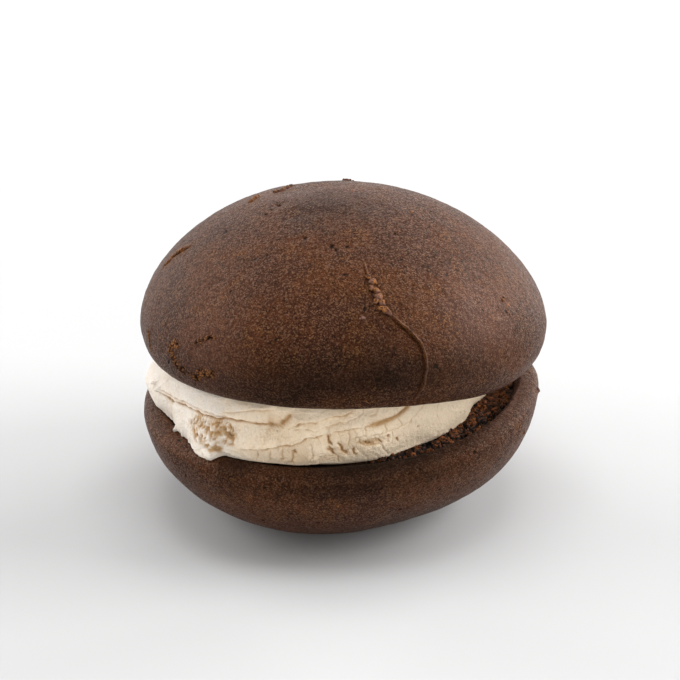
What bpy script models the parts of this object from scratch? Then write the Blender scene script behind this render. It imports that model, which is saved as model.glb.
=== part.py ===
"""Whoopie pie: two round chocolate cakes with a layer of cream spread between their flat sides.

Each cake is a dome above its widest ring and a rolled rim below it. The lower one lies dome down on a
small flat foot and has lost the crust of its flat side, so its open crumb lies sunk behind the rim.
The cream is thick in front and thin behind, so the upper cake leans back.
Lengths are in metres and angles in degrees, and the front of the pie faces -Y.
"""

import math
from dataclasses import dataclass

import bmesh
import bpy
from mathutils import Matrix, Vector, noise

MM = 0.001
GAP = 0.32 * MM

# A cake starts as a cube of cells blown up to a sphere. The rim takes the sphere's band from its
# equator to the polar angle RIM_END, and the step down to the sunk crumb the band from there to SINK_END.
CAKE_CELLS = 18
RIM_END = 123.0
SINK_END = 130.0


@dataclass(frozen=True)
class Cake:
    """The named sizes of one cake, measured from its widest ring."""

    radius: float
    crown_height: float
    shoulder_power: float
    crown_power: float
    rim_height: float
    rim_width: float
    sink_width: float
    sink_depth: float
    lobes: tuple
    crown_side: int


TOP_CAKE = Cake(
    radius=45.0 * MM,
    crown_height=30.4 * MM,
    shoulder_power=1.82,
    crown_power=1.77,
    rim_height=8.7 * MM,
    rim_width=5.4 * MM,
    sink_width=0.0,
    sink_depth=0.0,
    lobes=((2, 0.0, -0.007), (3, 0.017, -0.001)),
    crown_side=1,
)
BOTTOM_CAKE = Cake(
    radius=43.8 * MM,
    crown_height=25.2 * MM,
    shoulder_power=2.25,
    crown_power=1.76,
    rim_height=2.6 * MM,
    rim_width=3.9 * MM,
    sink_width=2.4 * MM,
    sink_depth=1.3 * MM,
    lobes=((2, 0.008, 0.008), (3, 0.016, 0.002)),
    crown_side=-1,
)

FOOT_CUT = 2.5 * MM
BOTTOM_CENTRE = Vector((-1.165 * MM, -1.558 * MM, BOTTOM_CAKE.crown_height - FOOT_CUT))
BOTTOM_ROLL = -1.6
TOP_CENTRE = BOTTOM_CENTRE + Vector((0.4 * MM, 2.0 * MM, 18.9 * MM))
TOP_TILT = -8.7
TOP_ROLL = 0.6
CROWN_FLATTENING = 1.2 * MM
CROWN_FLAT_RADIUS = 12.0 * MM

# The lower cake's rim stands higher on the right.
RIM_RISE = 2.6 * MM
RIM_RISE_AT = 5.0
RIM_RISE_SPAN = 40.0
RIM_RISE_INNER = 34.0 * MM
RIM_RISE_OUTER = 40.0 * MM
RIM_RISE_DEPTH = 14.0 * MM

# The upper cake's rim hangs lower to the right of its seam.
RIM_DROOP = 1.0 * MM
RIM_DROOP_AT = -38.0
RIM_DROOP_SPAN = 20.0
RIM_DROOP_INNER = 37.0 * MM
RIM_DROOP_OUTER = 40.0 * MM
RIM_DROOP_TOP = 3.0 * MM

# The slow swells of the domes, which fade out towards the crown and the widest ring.
SWELL_SIZE = 26.0 * MM
SWELL_HEIGHT = 0.25 * MM
SWELL_FROM = 5.0
SWELL_FULL_FROM = 30.0
SWELL_FULL_TO = 70.0
SWELL_TO = 90.0


@dataclass(frozen=True)
class Dent:
    """A shallow hollow that a cake baked with, round a point of its dome."""

    centre: Vector
    radius: float
    depth: float


TOP_DENT = Dent(Vector((-11.0, 5.0, 28.3)) * MM, 8.0 * MM, 0.8 * MM)
BOTTOM_DENT = Dent(Vector((15.0, -30.0, -17.5)) * MM, 11.0 * MM, 0.8 * MM)

# The raised seam on the upper cake, as azimuth and height above its widest ring. Its upper part is
# a rough strand, and its lower part a thin line that hooks back at the rim.
SEAM_PATH = ((-79.7, 17.7), (-77.1, 14.0), (-72.2, 9.1), (-68.1, 4.2), (-66.5, -2.3), (-68.3, -4.8))
SEAM_STRAND_FOOT = 12.0 * MM
SEAM_STRAND_HEIGHT = 0.9 * MM
SEAM_LINE_HEIGHT = 0.5 * MM
SEAM_WIDTH = 0.9 * MM
SEAM_LUMP = 1.6 * MM
SEAM_LUMP_SHARE = 0.5

# A short open crack on the upper cake's left side.
CRACK_PATH = ((-180.5, 11.8), (-183.0, 14.5), (-188.0, 17.0))
CRACK_DEPTH = 0.7 * MM
CRACK_WIDTH = 0.8 * MM

# The cells this near to the seam or the crack are cut finer.
DETAIL_REACH = 2.9 * MM
DETAIL_CUTS = 4

# The open crumb that shows on the lower cake, from the front round to the right.
CRUMB_FROM = -100.0
CRUMB_TO = 75.0
CRUMB_FADE = 12.0
CRUMB_SIZE = 2.6 * MM
CRUMB_RELIEF = 1.7 * MM
CRUMB_CUTS = 1
CRUMB_SINK = 0.35
CRUMB_CLEARANCE = 1.2 * MM

# How far the cream's lower edge reaches from the lower cake's axis, as azimuth and millimetres.
CREAM_REACH = (
    (-185, 41.8),
    (-173, 40.6),
    (-157, 39.2),
    (-145, 40.5),
    (-133, 43.2),
    (-129.5, 43.2),
    (-126.5, 40.3),
    (-105, 38.8),
    (-82, 35.0),
    (-57, 32.2),
    (-31, 32.0),
    (-18, 30.9),
    (-3, 33.2),
    (50, 33.5),
    (100, 35.5),
    (150, 39.5),
)
CREAM_TOP_RADIUS = 38.3 * MM
CREAM_LEAN = 0.8 * MM
CREAM_BULGE = 0.9 * MM
CREAM_BULGE_POWER = 0.8
CREAM_SIDE_BULGE = 3.2 * MM
CREAM_SIDE_BULGE_AT = 178.0
CREAM_SIDE_BULGE_SPAN = 24.0
CREAM_SEGMENTS = 176
CREAM_ROWS = 11
CREAM_FRONT_AT = -100.0
CREAM_FRONT_CROWDING = 0.4
CREAM_LUMP_SIZE = 7.0 * MM
CREAM_LUMP = 0.45 * MM
CREAM_EDGE_SHARE = 0.15
CREAM_UNDER_RADII = (34.6 * MM, 37.0 * MM, 39.9 * MM, 41.7 * MM)
CREAM_UNDER_STEP = 0.4 * MM
CREAM_UNDER_EASE = 2.5 * MM


@dataclass(frozen=True)
class Stroke:
    """A mark in the cream: a furrow (or a ridge, if its depth is negative), and a ledge above it."""

    path: tuple
    width: float
    depth: float
    ledge: float


# The marks of the spreading knife. Each path holds azimuth and height in millimetres above the lower
# cake's widest ring.
UPPER_FURROW = ((-164, 8.3), (-152, 9.6), (-136, 11.0), (-117, 11.9), (-108, 11.5))
UPPER_FOLD = ((-108, 11.6), (-105.5, 14.0), (-104.3, 15.4))
MAIN_FURROW = ((-59, 15.0), (-65, 12.0), (-73, 11.0), (-87, 10.3), (-94, 10.2))
LOWER_LEDGE = ((-94, 10.0), (-102, 8.7), (-107, 7.3), (-115, 5.6), (-124, 5.2))
CREAM_STROKES = (
    Stroke(UPPER_FURROW, 1.4 * MM, 1.0 * MM, 0.8 * MM),
    Stroke(UPPER_FOLD, 1.3 * MM, 1.0 * MM, 0.0),
    Stroke(MAIN_FURROW, 1.2 * MM, 1.0 * MM, 0.6 * MM),
    Stroke(LOWER_LEDGE, 1.0 * MM, 0.3 * MM, 0.6 * MM),
    Stroke(((-93.5, 10.0), (-92.3, 7.2), (-91.6, 4.9)), 1.0 * MM, 1.0 * MM, 0.0),
    Stroke(((-89.6, 7.2), (-87.2, 4.4)), 0.9 * MM, 0.9 * MM, 0.0),
    Stroke(((-141, 8.6), (-136, 7.0), (-130, 8.0)), 1.8 * MM, 0.8 * MM, 0.0),
    Stroke(((-169, 10.6), (-163, 10.2)), 1.6 * MM, -1.2 * MM, 0.0),
)
LEDGE_FALL = 3.0 * MM


def smooth(value, low, high):
    """0 below low, 1 above high, and an eased step between them."""
    share = min(max((value - low) / (high - low), 0.0), 1.0)
    return share * share * (3.0 - 2.0 * share)


def bell(distance, width):
    """1 on a path, falling to nearly nothing two widths away."""
    return math.exp(-((distance / width) ** 2))


def turned(azimuth, centre):
    """The azimuth as an angle from a centre, between -180 and 180 degrees."""
    return (azimuth - centre + 180.0) % 360.0 - 180.0


def nearest_on(point, path):
    """The point of a path that lies nearest to a point."""
    found = path[0]
    for start, end in zip(path, path[1:]):
        along = end - start
        share = min(max((point - start).dot(along) / along.length_squared, 0.0), 1.0)
        foot = start + share * along
        if (foot - point).length < (found - point).length:
            found = foot
    return found


def distance_to(point, path):
    """Distance from a point to the nearest stretch of a path."""
    return (nearest_on(point, path) - point).length


def lobed(cake, azimuth):
    """How far out of round a cake is at an azimuth, as a share of its radius."""
    angle = math.radians(azimuth)
    return 1.0 + sum(
        even * math.cos(waves * angle) + odd * math.sin(waves * angle)
        for waves, even, odd in cake.lobes
    )


def outline(cake, polar):
    """Radius and height of a cake's outline at a polar angle, from the crown to the flat side's middle."""
    rim_radius = cake.radius - cake.rim_width
    if polar <= 90.0:
        angle = math.radians(polar)
        radius = cake.radius * math.sin(angle) ** (2.0 / cake.shoulder_power)
        height = cake.crown_height * max(math.cos(angle), 0.0) ** (2.0 / cake.crown_power)
        flattening = CROWN_FLATTENING * bell(radius, CROWN_FLAT_RADIUS)
        return radius, height - flattening
    if polar <= RIM_END:
        angle = math.radians(90.0 * (polar - 90.0) / (RIM_END - 90.0))
        return rim_radius + cake.rim_width * math.cos(angle), -cake.rim_height * math.sin(angle)
    if polar <= SINK_END:
        share = (polar - RIM_END) / (SINK_END - RIM_END)
        height = -cake.rim_height + cake.sink_depth * smooth(share, 0.0, 1.0)
        return rim_radius - cake.sink_width * share, height
    flat_radius = rim_radius - cake.sink_width
    return flat_radius * (180.0 - polar) / (180.0 - SINK_END), -cake.rim_height + cake.sink_depth


def polar_at_height(cake, height):
    """The polar angle at which a cake's side is at a height."""
    low, high = 10.0, RIM_END
    for _ in range(40):
        middle = (low + high) / 2.0
        if outline(cake, middle)[1] > height:
            low = middle
        else:
            high = middle
    return low


def side_point(cake, azimuth, height):
    """The point of a cake's side at an azimuth and a height above its widest ring."""
    radius = outline(cake, polar_at_height(cake, height))[0] * lobed(cake, azimuth)
    angle = math.radians(azimuth)
    return Vector((radius * math.cos(angle), radius * math.sin(angle), cake.crown_side * height))


def side_path(cake, knots):
    """A path on a cake's side through pairs of azimuth and height in millimetres."""
    return [side_point(cake, azimuth, height * MM) for azimuth, height in knots]


def cell_sphere(cells):
    """A cube cut into a grid and blown up to a sphere of radius 1, with cells of nearly even size."""
    mesh = bmesh.new()
    bmesh.ops.create_cube(mesh, size=2.0)
    bmesh.ops.subdivide_edges(mesh, edges=mesh.edges[:], cuts=cells - 1, use_grid_fill=True)
    for vertex in mesh.verts:
        warped = Vector([math.tan(share * math.pi / 4.0) for share in vertex.co])
        vertex.co = warped.normalized()
    return mesh


def shape_cake(mesh, cake, dent):
    """Moves a sphere's vertices onto a cake's outline, with the slow swells that baking gives it."""
    for vertex in mesh.verts:
        direction = vertex.co.copy()
        azimuth = math.degrees(math.atan2(direction.y, direction.x))
        polar = math.degrees(math.acos(min(max(cake.crown_side * direction.z, -1.0), 1.0)))
        radius, height = outline(cake, polar)
        radius *= lobed(cake, azimuth)
        angle = math.radians(azimuth)
        place = Vector((radius * math.cos(angle), radius * math.sin(angle), cake.crown_side * height))
        share = smooth(polar, SWELL_FROM, SWELL_FULL_FROM) * (1.0 - smooth(polar, SWELL_FULL_TO, SWELL_TO))
        swell = SWELL_HEIGHT * share * noise.noise(place / SWELL_SIZE)
        hollow = dent.depth * bell((place - dent.centre).length, dent.radius)
        vertex.co = place + direction * (swell - hollow)


def cut_finer(mesh, wanted, cuts):
    """Subdivides the faces whose centres are wanted."""
    faces = [face for face in mesh.faces if wanted(face.calc_center_median())]
    edges = list({edge for face in faces for edge in face.edges})
    bmesh.ops.subdivide_edges(mesh, edges=edges, cuts=cuts, use_grid_fill=True)
    bmesh.ops.triangulate(mesh, faces=[face for face in mesh.faces if len(face.verts) > 4])


def rim_rise(radius, azimuth):
    """How much higher the lower cake's rim stands at an azimuth, at a distance from the cake's axis."""
    across = smooth(radius, RIM_RISE_INNER, RIM_RISE_OUTER)
    return RIM_RISE * bell(turned(azimuth, RIM_RISE_AT), RIM_RISE_SPAN) * across


def rim_droop(place):
    """How much lower the upper cake's rim hangs at a point."""
    azimuth = math.degrees(math.atan2(place.y, place.x))
    across = smooth(math.hypot(place.x, place.y), RIM_DROOP_INNER, RIM_DROOP_OUTER)
    below = 1.0 - smooth(place.z, -TOP_CAKE.rim_height / 2.0, RIM_DROOP_TOP)
    return RIM_DROOP * bell(turned(azimuth, RIM_DROOP_AT), RIM_DROOP_SPAN) * across * below


def top_cake_mesh():
    """The upper cake, with its raised seam and its side crack."""
    mesh = cell_sphere(CAKE_CELLS)
    shape_cake(mesh, TOP_CAKE, TOP_DENT)
    seam = side_path(TOP_CAKE, SEAM_PATH)
    crack = side_path(TOP_CAKE, CRACK_PATH)

    def beside_detail(place):
        return min(distance_to(place, seam), distance_to(place, crack)) < DETAIL_REACH

    cut_finer(mesh, beside_detail, DETAIL_CUTS)
    for vertex in mesh.verts:
        outwards = vertex.co.normalized()
        strand = smooth(vertex.co.z, SEAM_STRAND_FOOT - SEAM_LUMP, SEAM_STRAND_FOOT)
        lump = 1.0 + SEAM_LUMP_SHARE * strand * noise.noise(vertex.co / SEAM_LUMP)
        height = SEAM_LINE_HEIGHT + (SEAM_STRAND_HEIGHT - SEAM_LINE_HEIGHT) * strand
        rise = height * lump * bell(distance_to(vertex.co, seam), SEAM_WIDTH)
        fall = CRACK_DEPTH * bell(distance_to(vertex.co, crack), CRACK_WIDTH)
        droop = rim_droop(vertex.co)
        vertex.co += outwards * (rise - fall)
        vertex.co.z -= droop
    return mesh


def crumb_share(place):
    """How much of the crumb's full relief a point of the lower cake's flat side has."""
    azimuth = math.degrees(math.atan2(place.y, place.x))
    round_share = smooth(azimuth, CRUMB_FROM, CRUMB_FROM + CRUMB_FADE)
    round_share *= 1.0 - smooth(azimuth, CRUMB_TO - CRUMB_FADE, CRUMB_TO)
    radius = math.hypot(place.x, place.y)
    inner = cream_reach(azimuth) + CRUMB_CLEARANCE
    outer = (BOTTOM_CAKE.radius - BOTTOM_CAKE.rim_width) * lobed(BOTTOM_CAKE, azimuth)
    across_share = smooth(radius, inner, inner + CRUMB_CLEARANCE) * (1.0 - smooth(radius, outer, outer + MM))
    return round_share * across_share


def bottom_cake_mesh(placement):
    """The lower cake, with its flat foot and its open crumb."""
    mesh = cell_sphere(CAKE_CELLS)
    shape_cake(mesh, BOTTOM_CAKE, BOTTOM_DENT)
    for vertex in mesh.verts:
        azimuth = math.degrees(math.atan2(vertex.co.y, vertex.co.x))
        lifted = smooth(vertex.co.z, -RIM_RISE_DEPTH, 0.0)
        vertex.co.z += lifted * rim_rise(math.hypot(vertex.co.x, vertex.co.y), azimuth)
    cut_finer(mesh, lambda place: place.z > 0.0 and crumb_share(place) > 0.0, CRUMB_CUTS)
    for vertex in mesh.verts:
        if vertex.co.z > 0.0:
            crag = noise.noise(vertex.co / CRUMB_SIZE) - CRUMB_SINK
            vertex.co.z += CRUMB_RELIEF * crumb_share(vertex.co) * crag
    mesh.transform(placement)
    for vertex in mesh.verts:
        vertex.co.z = max(vertex.co.z, 0.0)
    mesh.transform(placement.inverted())
    return mesh


def cream_reach(azimuth):
    """How far the cream's lower edge reaches at an azimuth, eased between the knots of its outline."""
    knots = [*CREAM_REACH, (CREAM_REACH[0][0] + 360, CREAM_REACH[0][1])]
    angle = CREAM_REACH[0][0] + (azimuth - CREAM_REACH[0][0]) % 360.0
    for (start, near), (end, far) in zip(knots, knots[1:]):
        if angle <= end:
            return (near + (far - near) * smooth(angle, start, end)) * MM
    return knots[-1][1] * MM


def under_cream(radius, azimuth):
    """Height of the lower cake's flat side above its widest ring, at a distance from its axis."""
    crest = (BOTTOM_CAKE.radius - BOTTOM_CAKE.rim_width) * lobed(BOTTOM_CAKE, azimuth)
    if radius <= crest:
        flat_end = crest - BOTTOM_CAKE.sink_width
        sunk = 1.0 - smooth(radius, flat_end - CREAM_UNDER_EASE, flat_end)
        return BOTTOM_CAKE.rim_height - BOTTOM_CAKE.sink_depth * sunk
    share = min((radius - crest) / BOTTOM_CAKE.rim_width, 1.0)
    return BOTTOM_CAKE.rim_height * math.sqrt(1.0 - share * share)


def stroke_relief(azimuth, height, radius):
    """How far the knife's strokes move the cream's side in or out at a point."""
    relief = 0.0
    place = Vector((0.0, height))
    for stroke in CREAM_STROKES:
        path = [
            Vector((radius * math.radians(turned(knot, azimuth)), level * MM))
            for knot, level in stroke.path
        ]
        foot = nearest_on(place, path)
        away = (foot - place).length
        above = smooth(height - foot.y, 0.0, stroke.width)
        relief += stroke.ledge * above * bell(away, LEDGE_FALL) - stroke.depth * bell(away, stroke.width)
    return relief


def cream_mesh(bottom_placement, top_placement):
    """The cream: flat against both cakes, with a side that bulges, folds and hangs over the lower rim."""
    plane_point = top_placement @ Vector((0.0, 0.0, -TOP_CAKE.rim_height))
    plane_normal = top_placement.to_3x3() @ Vector((0.0, 0.0, 1.0))
    roll_slope = math.tan(math.radians(-BOTTOM_ROLL))

    def bottom_level(place):
        return BOTTOM_CENTRE.z + place.x * roll_slope

    def top_level(place):
        offset = place.to_3d() + BOTTOM_CENTRE - plane_point
        return plane_point.z - (plane_normal.x * offset.x + plane_normal.y * offset.y) / plane_normal.z

    def ring_point(azimuth, radius):
        angle = math.radians(azimuth)
        return Vector((radius * math.cos(angle), radius * math.sin(angle)))

    def under_point(azimuth, radius):
        flat = ring_point(azimuth, radius)
        level = bottom_level(flat) + under_cream(radius, azimuth) + GAP
        return Vector((flat.x, flat.y, level))

    def side(azimuth, share):
        reach = cream_reach(azimuth)
        top_radius = min(CREAM_TOP_RADIUS, reach + CREAM_LEAN)
        at_side = bell(turned(azimuth, CREAM_SIDE_BULGE_AT), CREAM_SIDE_BULGE_SPAN)
        bulge = CREAM_BULGE + (CREAM_SIDE_BULGE - CREAM_BULGE) * at_side
        round_share = math.sin(math.pi * share) ** CREAM_BULGE_POWER
        radius = reach + (top_radius - reach) * share + bulge * round_share
        low = under_point(azimuth, reach)
        high = top_level(ring_point(azimuth, top_radius)) - GAP
        level = low.z + (high - low.z) * share
        free = smooth(min(share, 1.0 - share), 0.0, CREAM_EDGE_SHARE)
        height = level - bottom_level(ring_point(azimuth, radius))
        lump = noise.noise(Vector((*ring_point(azimuth, radius), level)) / CREAM_LUMP_SIZE)
        radius += free * (stroke_relief(azimuth, height, radius) + CREAM_LUMP * lump)
        flat = ring_point(azimuth, radius)
        return Vector((flat.x, flat.y, level))

    rings = len(CREAM_UNDER_RADII) + CREAM_ROWS + 1
    mesh = bmesh.new()
    bmesh.ops.create_cone(
        mesh, cap_ends=True, segments=CREAM_SEGMENTS, radius1=1.0, radius2=1.0, depth=rings - 1
    )
    upright = [edge for edge in mesh.edges if abs(edge.verts[0].co.z - edge.verts[1].co.z) > 0.5]
    bmesh.ops.subdivide_edges(mesh, edges=upright, cuts=rings - 2)
    for vertex in mesh.verts:
        ring = round(vertex.co.z + (rings - 1) / 2)
        even = math.degrees(math.atan2(vertex.co.y, vertex.co.x))
        from_front = math.radians(turned(even, CREAM_FRONT_AT))
        azimuth = even - math.degrees(CREAM_FRONT_CROWDING * math.sin(from_front))
        if ring < len(CREAM_UNDER_RADII):
            steps = len(CREAM_UNDER_RADII) - ring
            inner = min(CREAM_UNDER_RADII[ring], cream_reach(azimuth) - steps * CREAM_UNDER_STEP)
            place = under_point(azimuth, inner)
        else:
            place = side(azimuth, (ring - len(CREAM_UNDER_RADII)) / CREAM_ROWS)
        vertex.co = place + Vector((BOTTOM_CENTRE.x, BOTTOM_CENTRE.y, 0.0))
    return mesh


def material(name, colour, roughness):
    """A plain surface of one colour."""
    made = bpy.data.materials.new(name)
    made.use_nodes = True
    shader = made.node_tree.nodes["Principled BSDF"]
    shader.inputs["Base Color"].default_value = (*colour, 1.0)
    shader.inputs["Roughness"].default_value = roughness
    shader.inputs["Metallic"].default_value = 0.0
    return made


def add_object(collection, name, mesh, placement, surface):
    """Makes a named object of a bmesh, at its place and with its material."""
    data = bpy.data.meshes.new(name)
    bmesh.ops.recalc_face_normals(mesh, faces=mesh.faces[:])
    mesh.to_mesh(data)
    mesh.free()
    data.materials.append(surface)
    data.shade_smooth()
    made = bpy.data.objects.new(name, data)
    made.matrix_world = placement
    collection.objects.link(made)
    return made


def build():
    """Clears the scene and makes the three pieces of the whoopie pie."""
    for old in list(bpy.data.objects):
        bpy.data.objects.remove(old)
    collection = bpy.data.collections.new("whoopie_pie")
    bpy.context.scene.collection.children.link(collection)

    top_placement = (
        Matrix.Translation(TOP_CENTRE)
        @ Matrix.Rotation(math.radians(TOP_TILT), 4, "X")
        @ Matrix.Rotation(math.radians(TOP_ROLL), 4, "Y")
    )
    bottom_placement = Matrix.Translation(BOTTOM_CENTRE) @ Matrix.Rotation(
        math.radians(BOTTOM_ROLL), 4, "Y"
    )
    crust = material("chocolate_crust", (0.105, 0.049, 0.030), 0.55)
    crumb = material("chocolate_cake", (0.085, 0.038, 0.022), 0.6)
    cream = material("cream_filling", (0.64, 0.50, 0.36), 0.5)

    add_object(collection, "top_cake", top_cake_mesh(), top_placement, crust)
    add_object(collection, "bottom_cake", bottom_cake_mesh(bottom_placement), bottom_placement, crumb)
    add_object(collection, "filling", cream_mesh(bottom_placement, top_placement), Matrix(), cream)


build()
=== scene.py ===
"""Whoopie pie: the baked crusts, the open crumb and the spread cream, dressed for a photograph.

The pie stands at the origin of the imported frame, +Z up, with the thick side of its cream towards -Y.
Sizes in the classes are millimetres and degrees, and meshes are metres. A cake is described in a frame
of its own: the widest ring lies at height 0, and azimuth 0 points to +X and -90 to the front.
"""

import logging
import math
from abc import ABC, abstractmethod
from collections.abc import Callable
from dataclasses import dataclass
from enum import Enum

import bpy
import numpy as np
from mathutils import Matrix, Vector


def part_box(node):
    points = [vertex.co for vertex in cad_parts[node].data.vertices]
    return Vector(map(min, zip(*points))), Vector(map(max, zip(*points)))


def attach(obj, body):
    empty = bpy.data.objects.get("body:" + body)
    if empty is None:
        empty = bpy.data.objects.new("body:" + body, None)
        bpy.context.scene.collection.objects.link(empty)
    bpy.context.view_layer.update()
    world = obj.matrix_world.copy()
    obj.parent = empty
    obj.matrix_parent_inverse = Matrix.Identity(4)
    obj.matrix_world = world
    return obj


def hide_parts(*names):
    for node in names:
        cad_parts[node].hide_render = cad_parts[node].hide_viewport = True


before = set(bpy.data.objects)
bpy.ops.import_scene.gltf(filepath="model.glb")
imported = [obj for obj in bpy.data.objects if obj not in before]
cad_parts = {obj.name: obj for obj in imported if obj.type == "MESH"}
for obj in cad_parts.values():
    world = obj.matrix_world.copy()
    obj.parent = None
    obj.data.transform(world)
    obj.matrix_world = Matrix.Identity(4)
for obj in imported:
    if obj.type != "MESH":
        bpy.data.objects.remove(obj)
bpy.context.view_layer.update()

MM = 0.001
ROOT = "root"

Array = np.ndarray
Knots = tuple[tuple[float, float], ...]
Colour = tuple[float, float, float, float]
Socket = bpy.types.NodeSocket

logging.basicConfig(level=logging.INFO, format="%(message)s")
log = logging.getLogger("whoopie_pie")


class Solid(Enum):
    """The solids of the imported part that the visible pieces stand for."""

    TOP = "top_cake"
    FILLING = "filling"
    BOTTOM = "bottom_cake"


class Slot(Enum):
    """The record's material slots."""

    CRUST = "chocolate_crust"
    CAKE = "chocolate_cake"
    CREAM = "cream_filling"


# Curves and falls


def smooth(value: Array, low: float, high: float) -> Array:
    """Eases from 0 at low to 1 at high."""
    share = np.clip((value - low) / (high - low), 0.0, 1.0)
    return share * share * (3.0 - 2.0 * share)


def bell(distance: Array, width: float) -> Array:
    """Falls from 1 at distance 0 to nearly nothing two widths away."""
    return np.exp(-np.square(distance / width))


def cusp(distance: Array, width: float) -> Array:
    """Falls from 1 at distance 0 as a sharp crease does."""
    return np.exp(-np.abs(distance) / width)


def turned(azimuth: Array, centre: float) -> Array:
    """The azimuth as an angle from a centre, between -180 and 180 degrees."""
    return (azimuth - centre + 180.0) % 360.0 - 180.0


def azimuth_of(points: Array) -> Array:
    """The azimuth of points, in degrees."""
    return np.degrees(np.arctan2(points[:, 1], points[:, 0]))


def on_ring(radius: Array | float, azimuth: Array) -> Array:
    """Points at a radius and an azimuth, with height 0."""
    angle = np.radians(azimuth)
    return np.stack([radius * np.cos(angle), radius * np.sin(angle), np.zeros_like(angle)], axis=1)


def crowded(points: Array, amount: float, centre: float) -> Array:
    """The azimuths of evenly spread points, squeezed together round a centre to give it finer columns."""
    even = azimuth_of(points)
    return even - np.degrees(amount * np.sin(np.radians(turned(even, centre))))


def eased_knots(azimuth: Array, knots: Knots) -> Array:
    """Reads a ring of knots with an eased step from each to the next.

    Args:
        azimuth: Where to read it, in degrees.
        knots: Pairs of azimuth and value, in rising azimuth, within one turn.

    Returns:
        The value at each azimuth.
    """
    start = knots[0][0]
    places = np.array([knot[0] for knot in knots] + [start + 360.0])
    values = np.array([knot[1] for knot in knots] + [knots[0][1]])
    angle = start + (azimuth - start) % 360.0
    step = np.clip(np.searchsorted(places, angle, side="right") - 1, 0, len(knots) - 1)
    share = (angle - places[step]) / (places[step + 1] - places[step])
    return values[step] + (values[step + 1] - values[step]) * smooth(share, 0.0, 1.0)


def curve_through(knots: Array, steps: int) -> Array:
    """A smooth curve through points, with a few steps from each to the next.

    Args:
        knots: The points, one to a row.
        steps: Steps between two neighbouring points.

    Returns:
        The curve's points, one to a row.
    """
    ends = np.vstack([2 * knots[:1] - knots[1:2], knots, 2 * knots[-1:] - knots[-2:-1]])
    found = []
    for before, start, end, after in zip(ends, ends[1:], ends[2:], ends[3:]):
        for share in np.arange(steps) / steps:
            bend = 2 * before - 5 * start + 4 * end - after
            twist = 3 * (start - end) + after - before
            found.append(start + 0.5 * share * (end - before + share * (bend + share * twist)))
    return np.array([*found, knots[-1]])


def nearest_on(points: Array, path: Array) -> tuple[Array, Array, Array]:
    """Finds how far points lie from a path.

    Args:
        points: The points, one to a row.
        path: The path's points, one to a row.

    Returns:
        Each point's distance to the path, how far along the path that is as a share, and the offset
        from the path's nearest point.
    """
    best = np.full(len(points), np.inf)
    along = np.zeros(len(points))
    offset = np.zeros_like(points)
    for index, (start, end) in enumerate(zip(path, path[1:])):
        line = end - start
        share = np.clip((points - start) @ line / (line @ line), 0.0, 1.0)
        gap = points - start - share[:, None] * line
        distance = np.linalg.norm(gap, axis=1)
        nearer = distance < best
        best = np.where(nearer, distance, best)
        along = np.where(nearer, (index + share) / (len(path) - 1), along)
        offset = np.where(nearer[:, None], gap, offset)
    return best, along, offset


@dataclass(frozen=True)
class Grain:
    """Uneven relief that depends only on a point's place and a seed, so each run gives the same."""

    seed: int

    def random(self, cells: Array, channel: int) -> Array:
        """A number from 0 to 1 for each whole-number cell.

        Args:
            cells: The cells, one to a row.
            channel: Which of the cell's numbers to give.

        Returns:
            One number for each cell.
        """
        x, y, z = (cells[:, axis].astype(np.int64).astype(np.uint64) for axis in range(3))
        code = x * np.uint64(73856093) ^ y * np.uint64(19349663) ^ z * np.uint64(83492791)
        code = code + np.uint64((self.seed * 31 + channel + 1) * 2654435761)
        for factor in (2246822519, 3266489917, 668265263):
            code = (code & np.uint64(0xFFFFFFFF)) * np.uint64(factor)
            code = code ^ (code >> np.uint64(15))
        return (code & np.uint64(0xFFFFFF)).astype(float) / 0x1000000

    def lumps(self, points: Array, size: float) -> Array:
        """Soft lumps and hollows, from about -1 to 1.

        Args:
            points: Where to read them, one point to a row.
            size: The distance from lump to lump.

        Returns:
            The height at each point.
        """
        scaled = points / size
        cell = np.floor(scaled)
        inside = scaled - cell
        ease = inside * inside * inside * (inside * (inside * 6.0 - 15.0) + 10.0)
        total = np.zeros(len(points))
        for corner in np.ndindex(2, 2, 2):
            step = np.array(corner, float)
            slope = np.stack([self.random(cell + step, axis) for axis in range(3)], axis=1) - 0.5
            weight = np.prod(np.where(step > 0, ease, 1.0 - ease), axis=1)
            total += weight * np.sum(slope * (inside - step), axis=1)
        return 2.6 * total

    def layers(self, points: Array, size: float, count: int) -> Array:
        """Lumps on lumps, each layer half as large and half as high as the one before."""
        return sum(self.lumps(points + 17.3 * layer, size / 2**layer) / 2**layer for layer in range(count))

    def pebbles(self, points: Array, size: float) -> tuple[Array, Array, Array]:
        """Packed round cells, as crumbs or pores lie.

        Args:
            points: Where to read them, one point to a row.
            size: The distance from cell to cell.

        Returns:
            The distance to the nearest cell's middle and to the next one's, as shares of the size,
            and a number from 0 to 1 that belongs to the nearest cell.
        """
        scaled = points / size
        home = np.floor(scaled)
        first = np.full(len(points), 9.0)
        second = np.full(len(points), 9.0)
        owner = np.zeros(len(points))
        for shift in np.ndindex(3, 3, 3):
            cell = home + np.array(shift) - 1.0
            middle = cell + np.stack([self.random(cell, axis) for axis in range(3)], axis=1)
            distance = np.linalg.norm(scaled - middle, axis=1)
            nearer = distance < first
            second = np.minimum(second, np.where(nearer, first, distance))
            owner = np.where(nearer, self.random(cell, 3), owner)
            first = np.where(nearer, distance, first)
        return first, second, owner


# Meshes


def add_primitive(name: str, operator: Callable, **settings) -> bpy.types.Object:
    """Adds a primitive with nothing else selected.

    Args:
        name: The new piece's name.
        operator: The operator that adds it.
        **settings: The operator's own settings.

    Returns:
        The new object.
    """
    bpy.ops.object.select_all(action="DESELECT")
    operator(**settings)
    piece = bpy.context.object
    piece.name = name
    piece.data.name = name
    return piece


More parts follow.
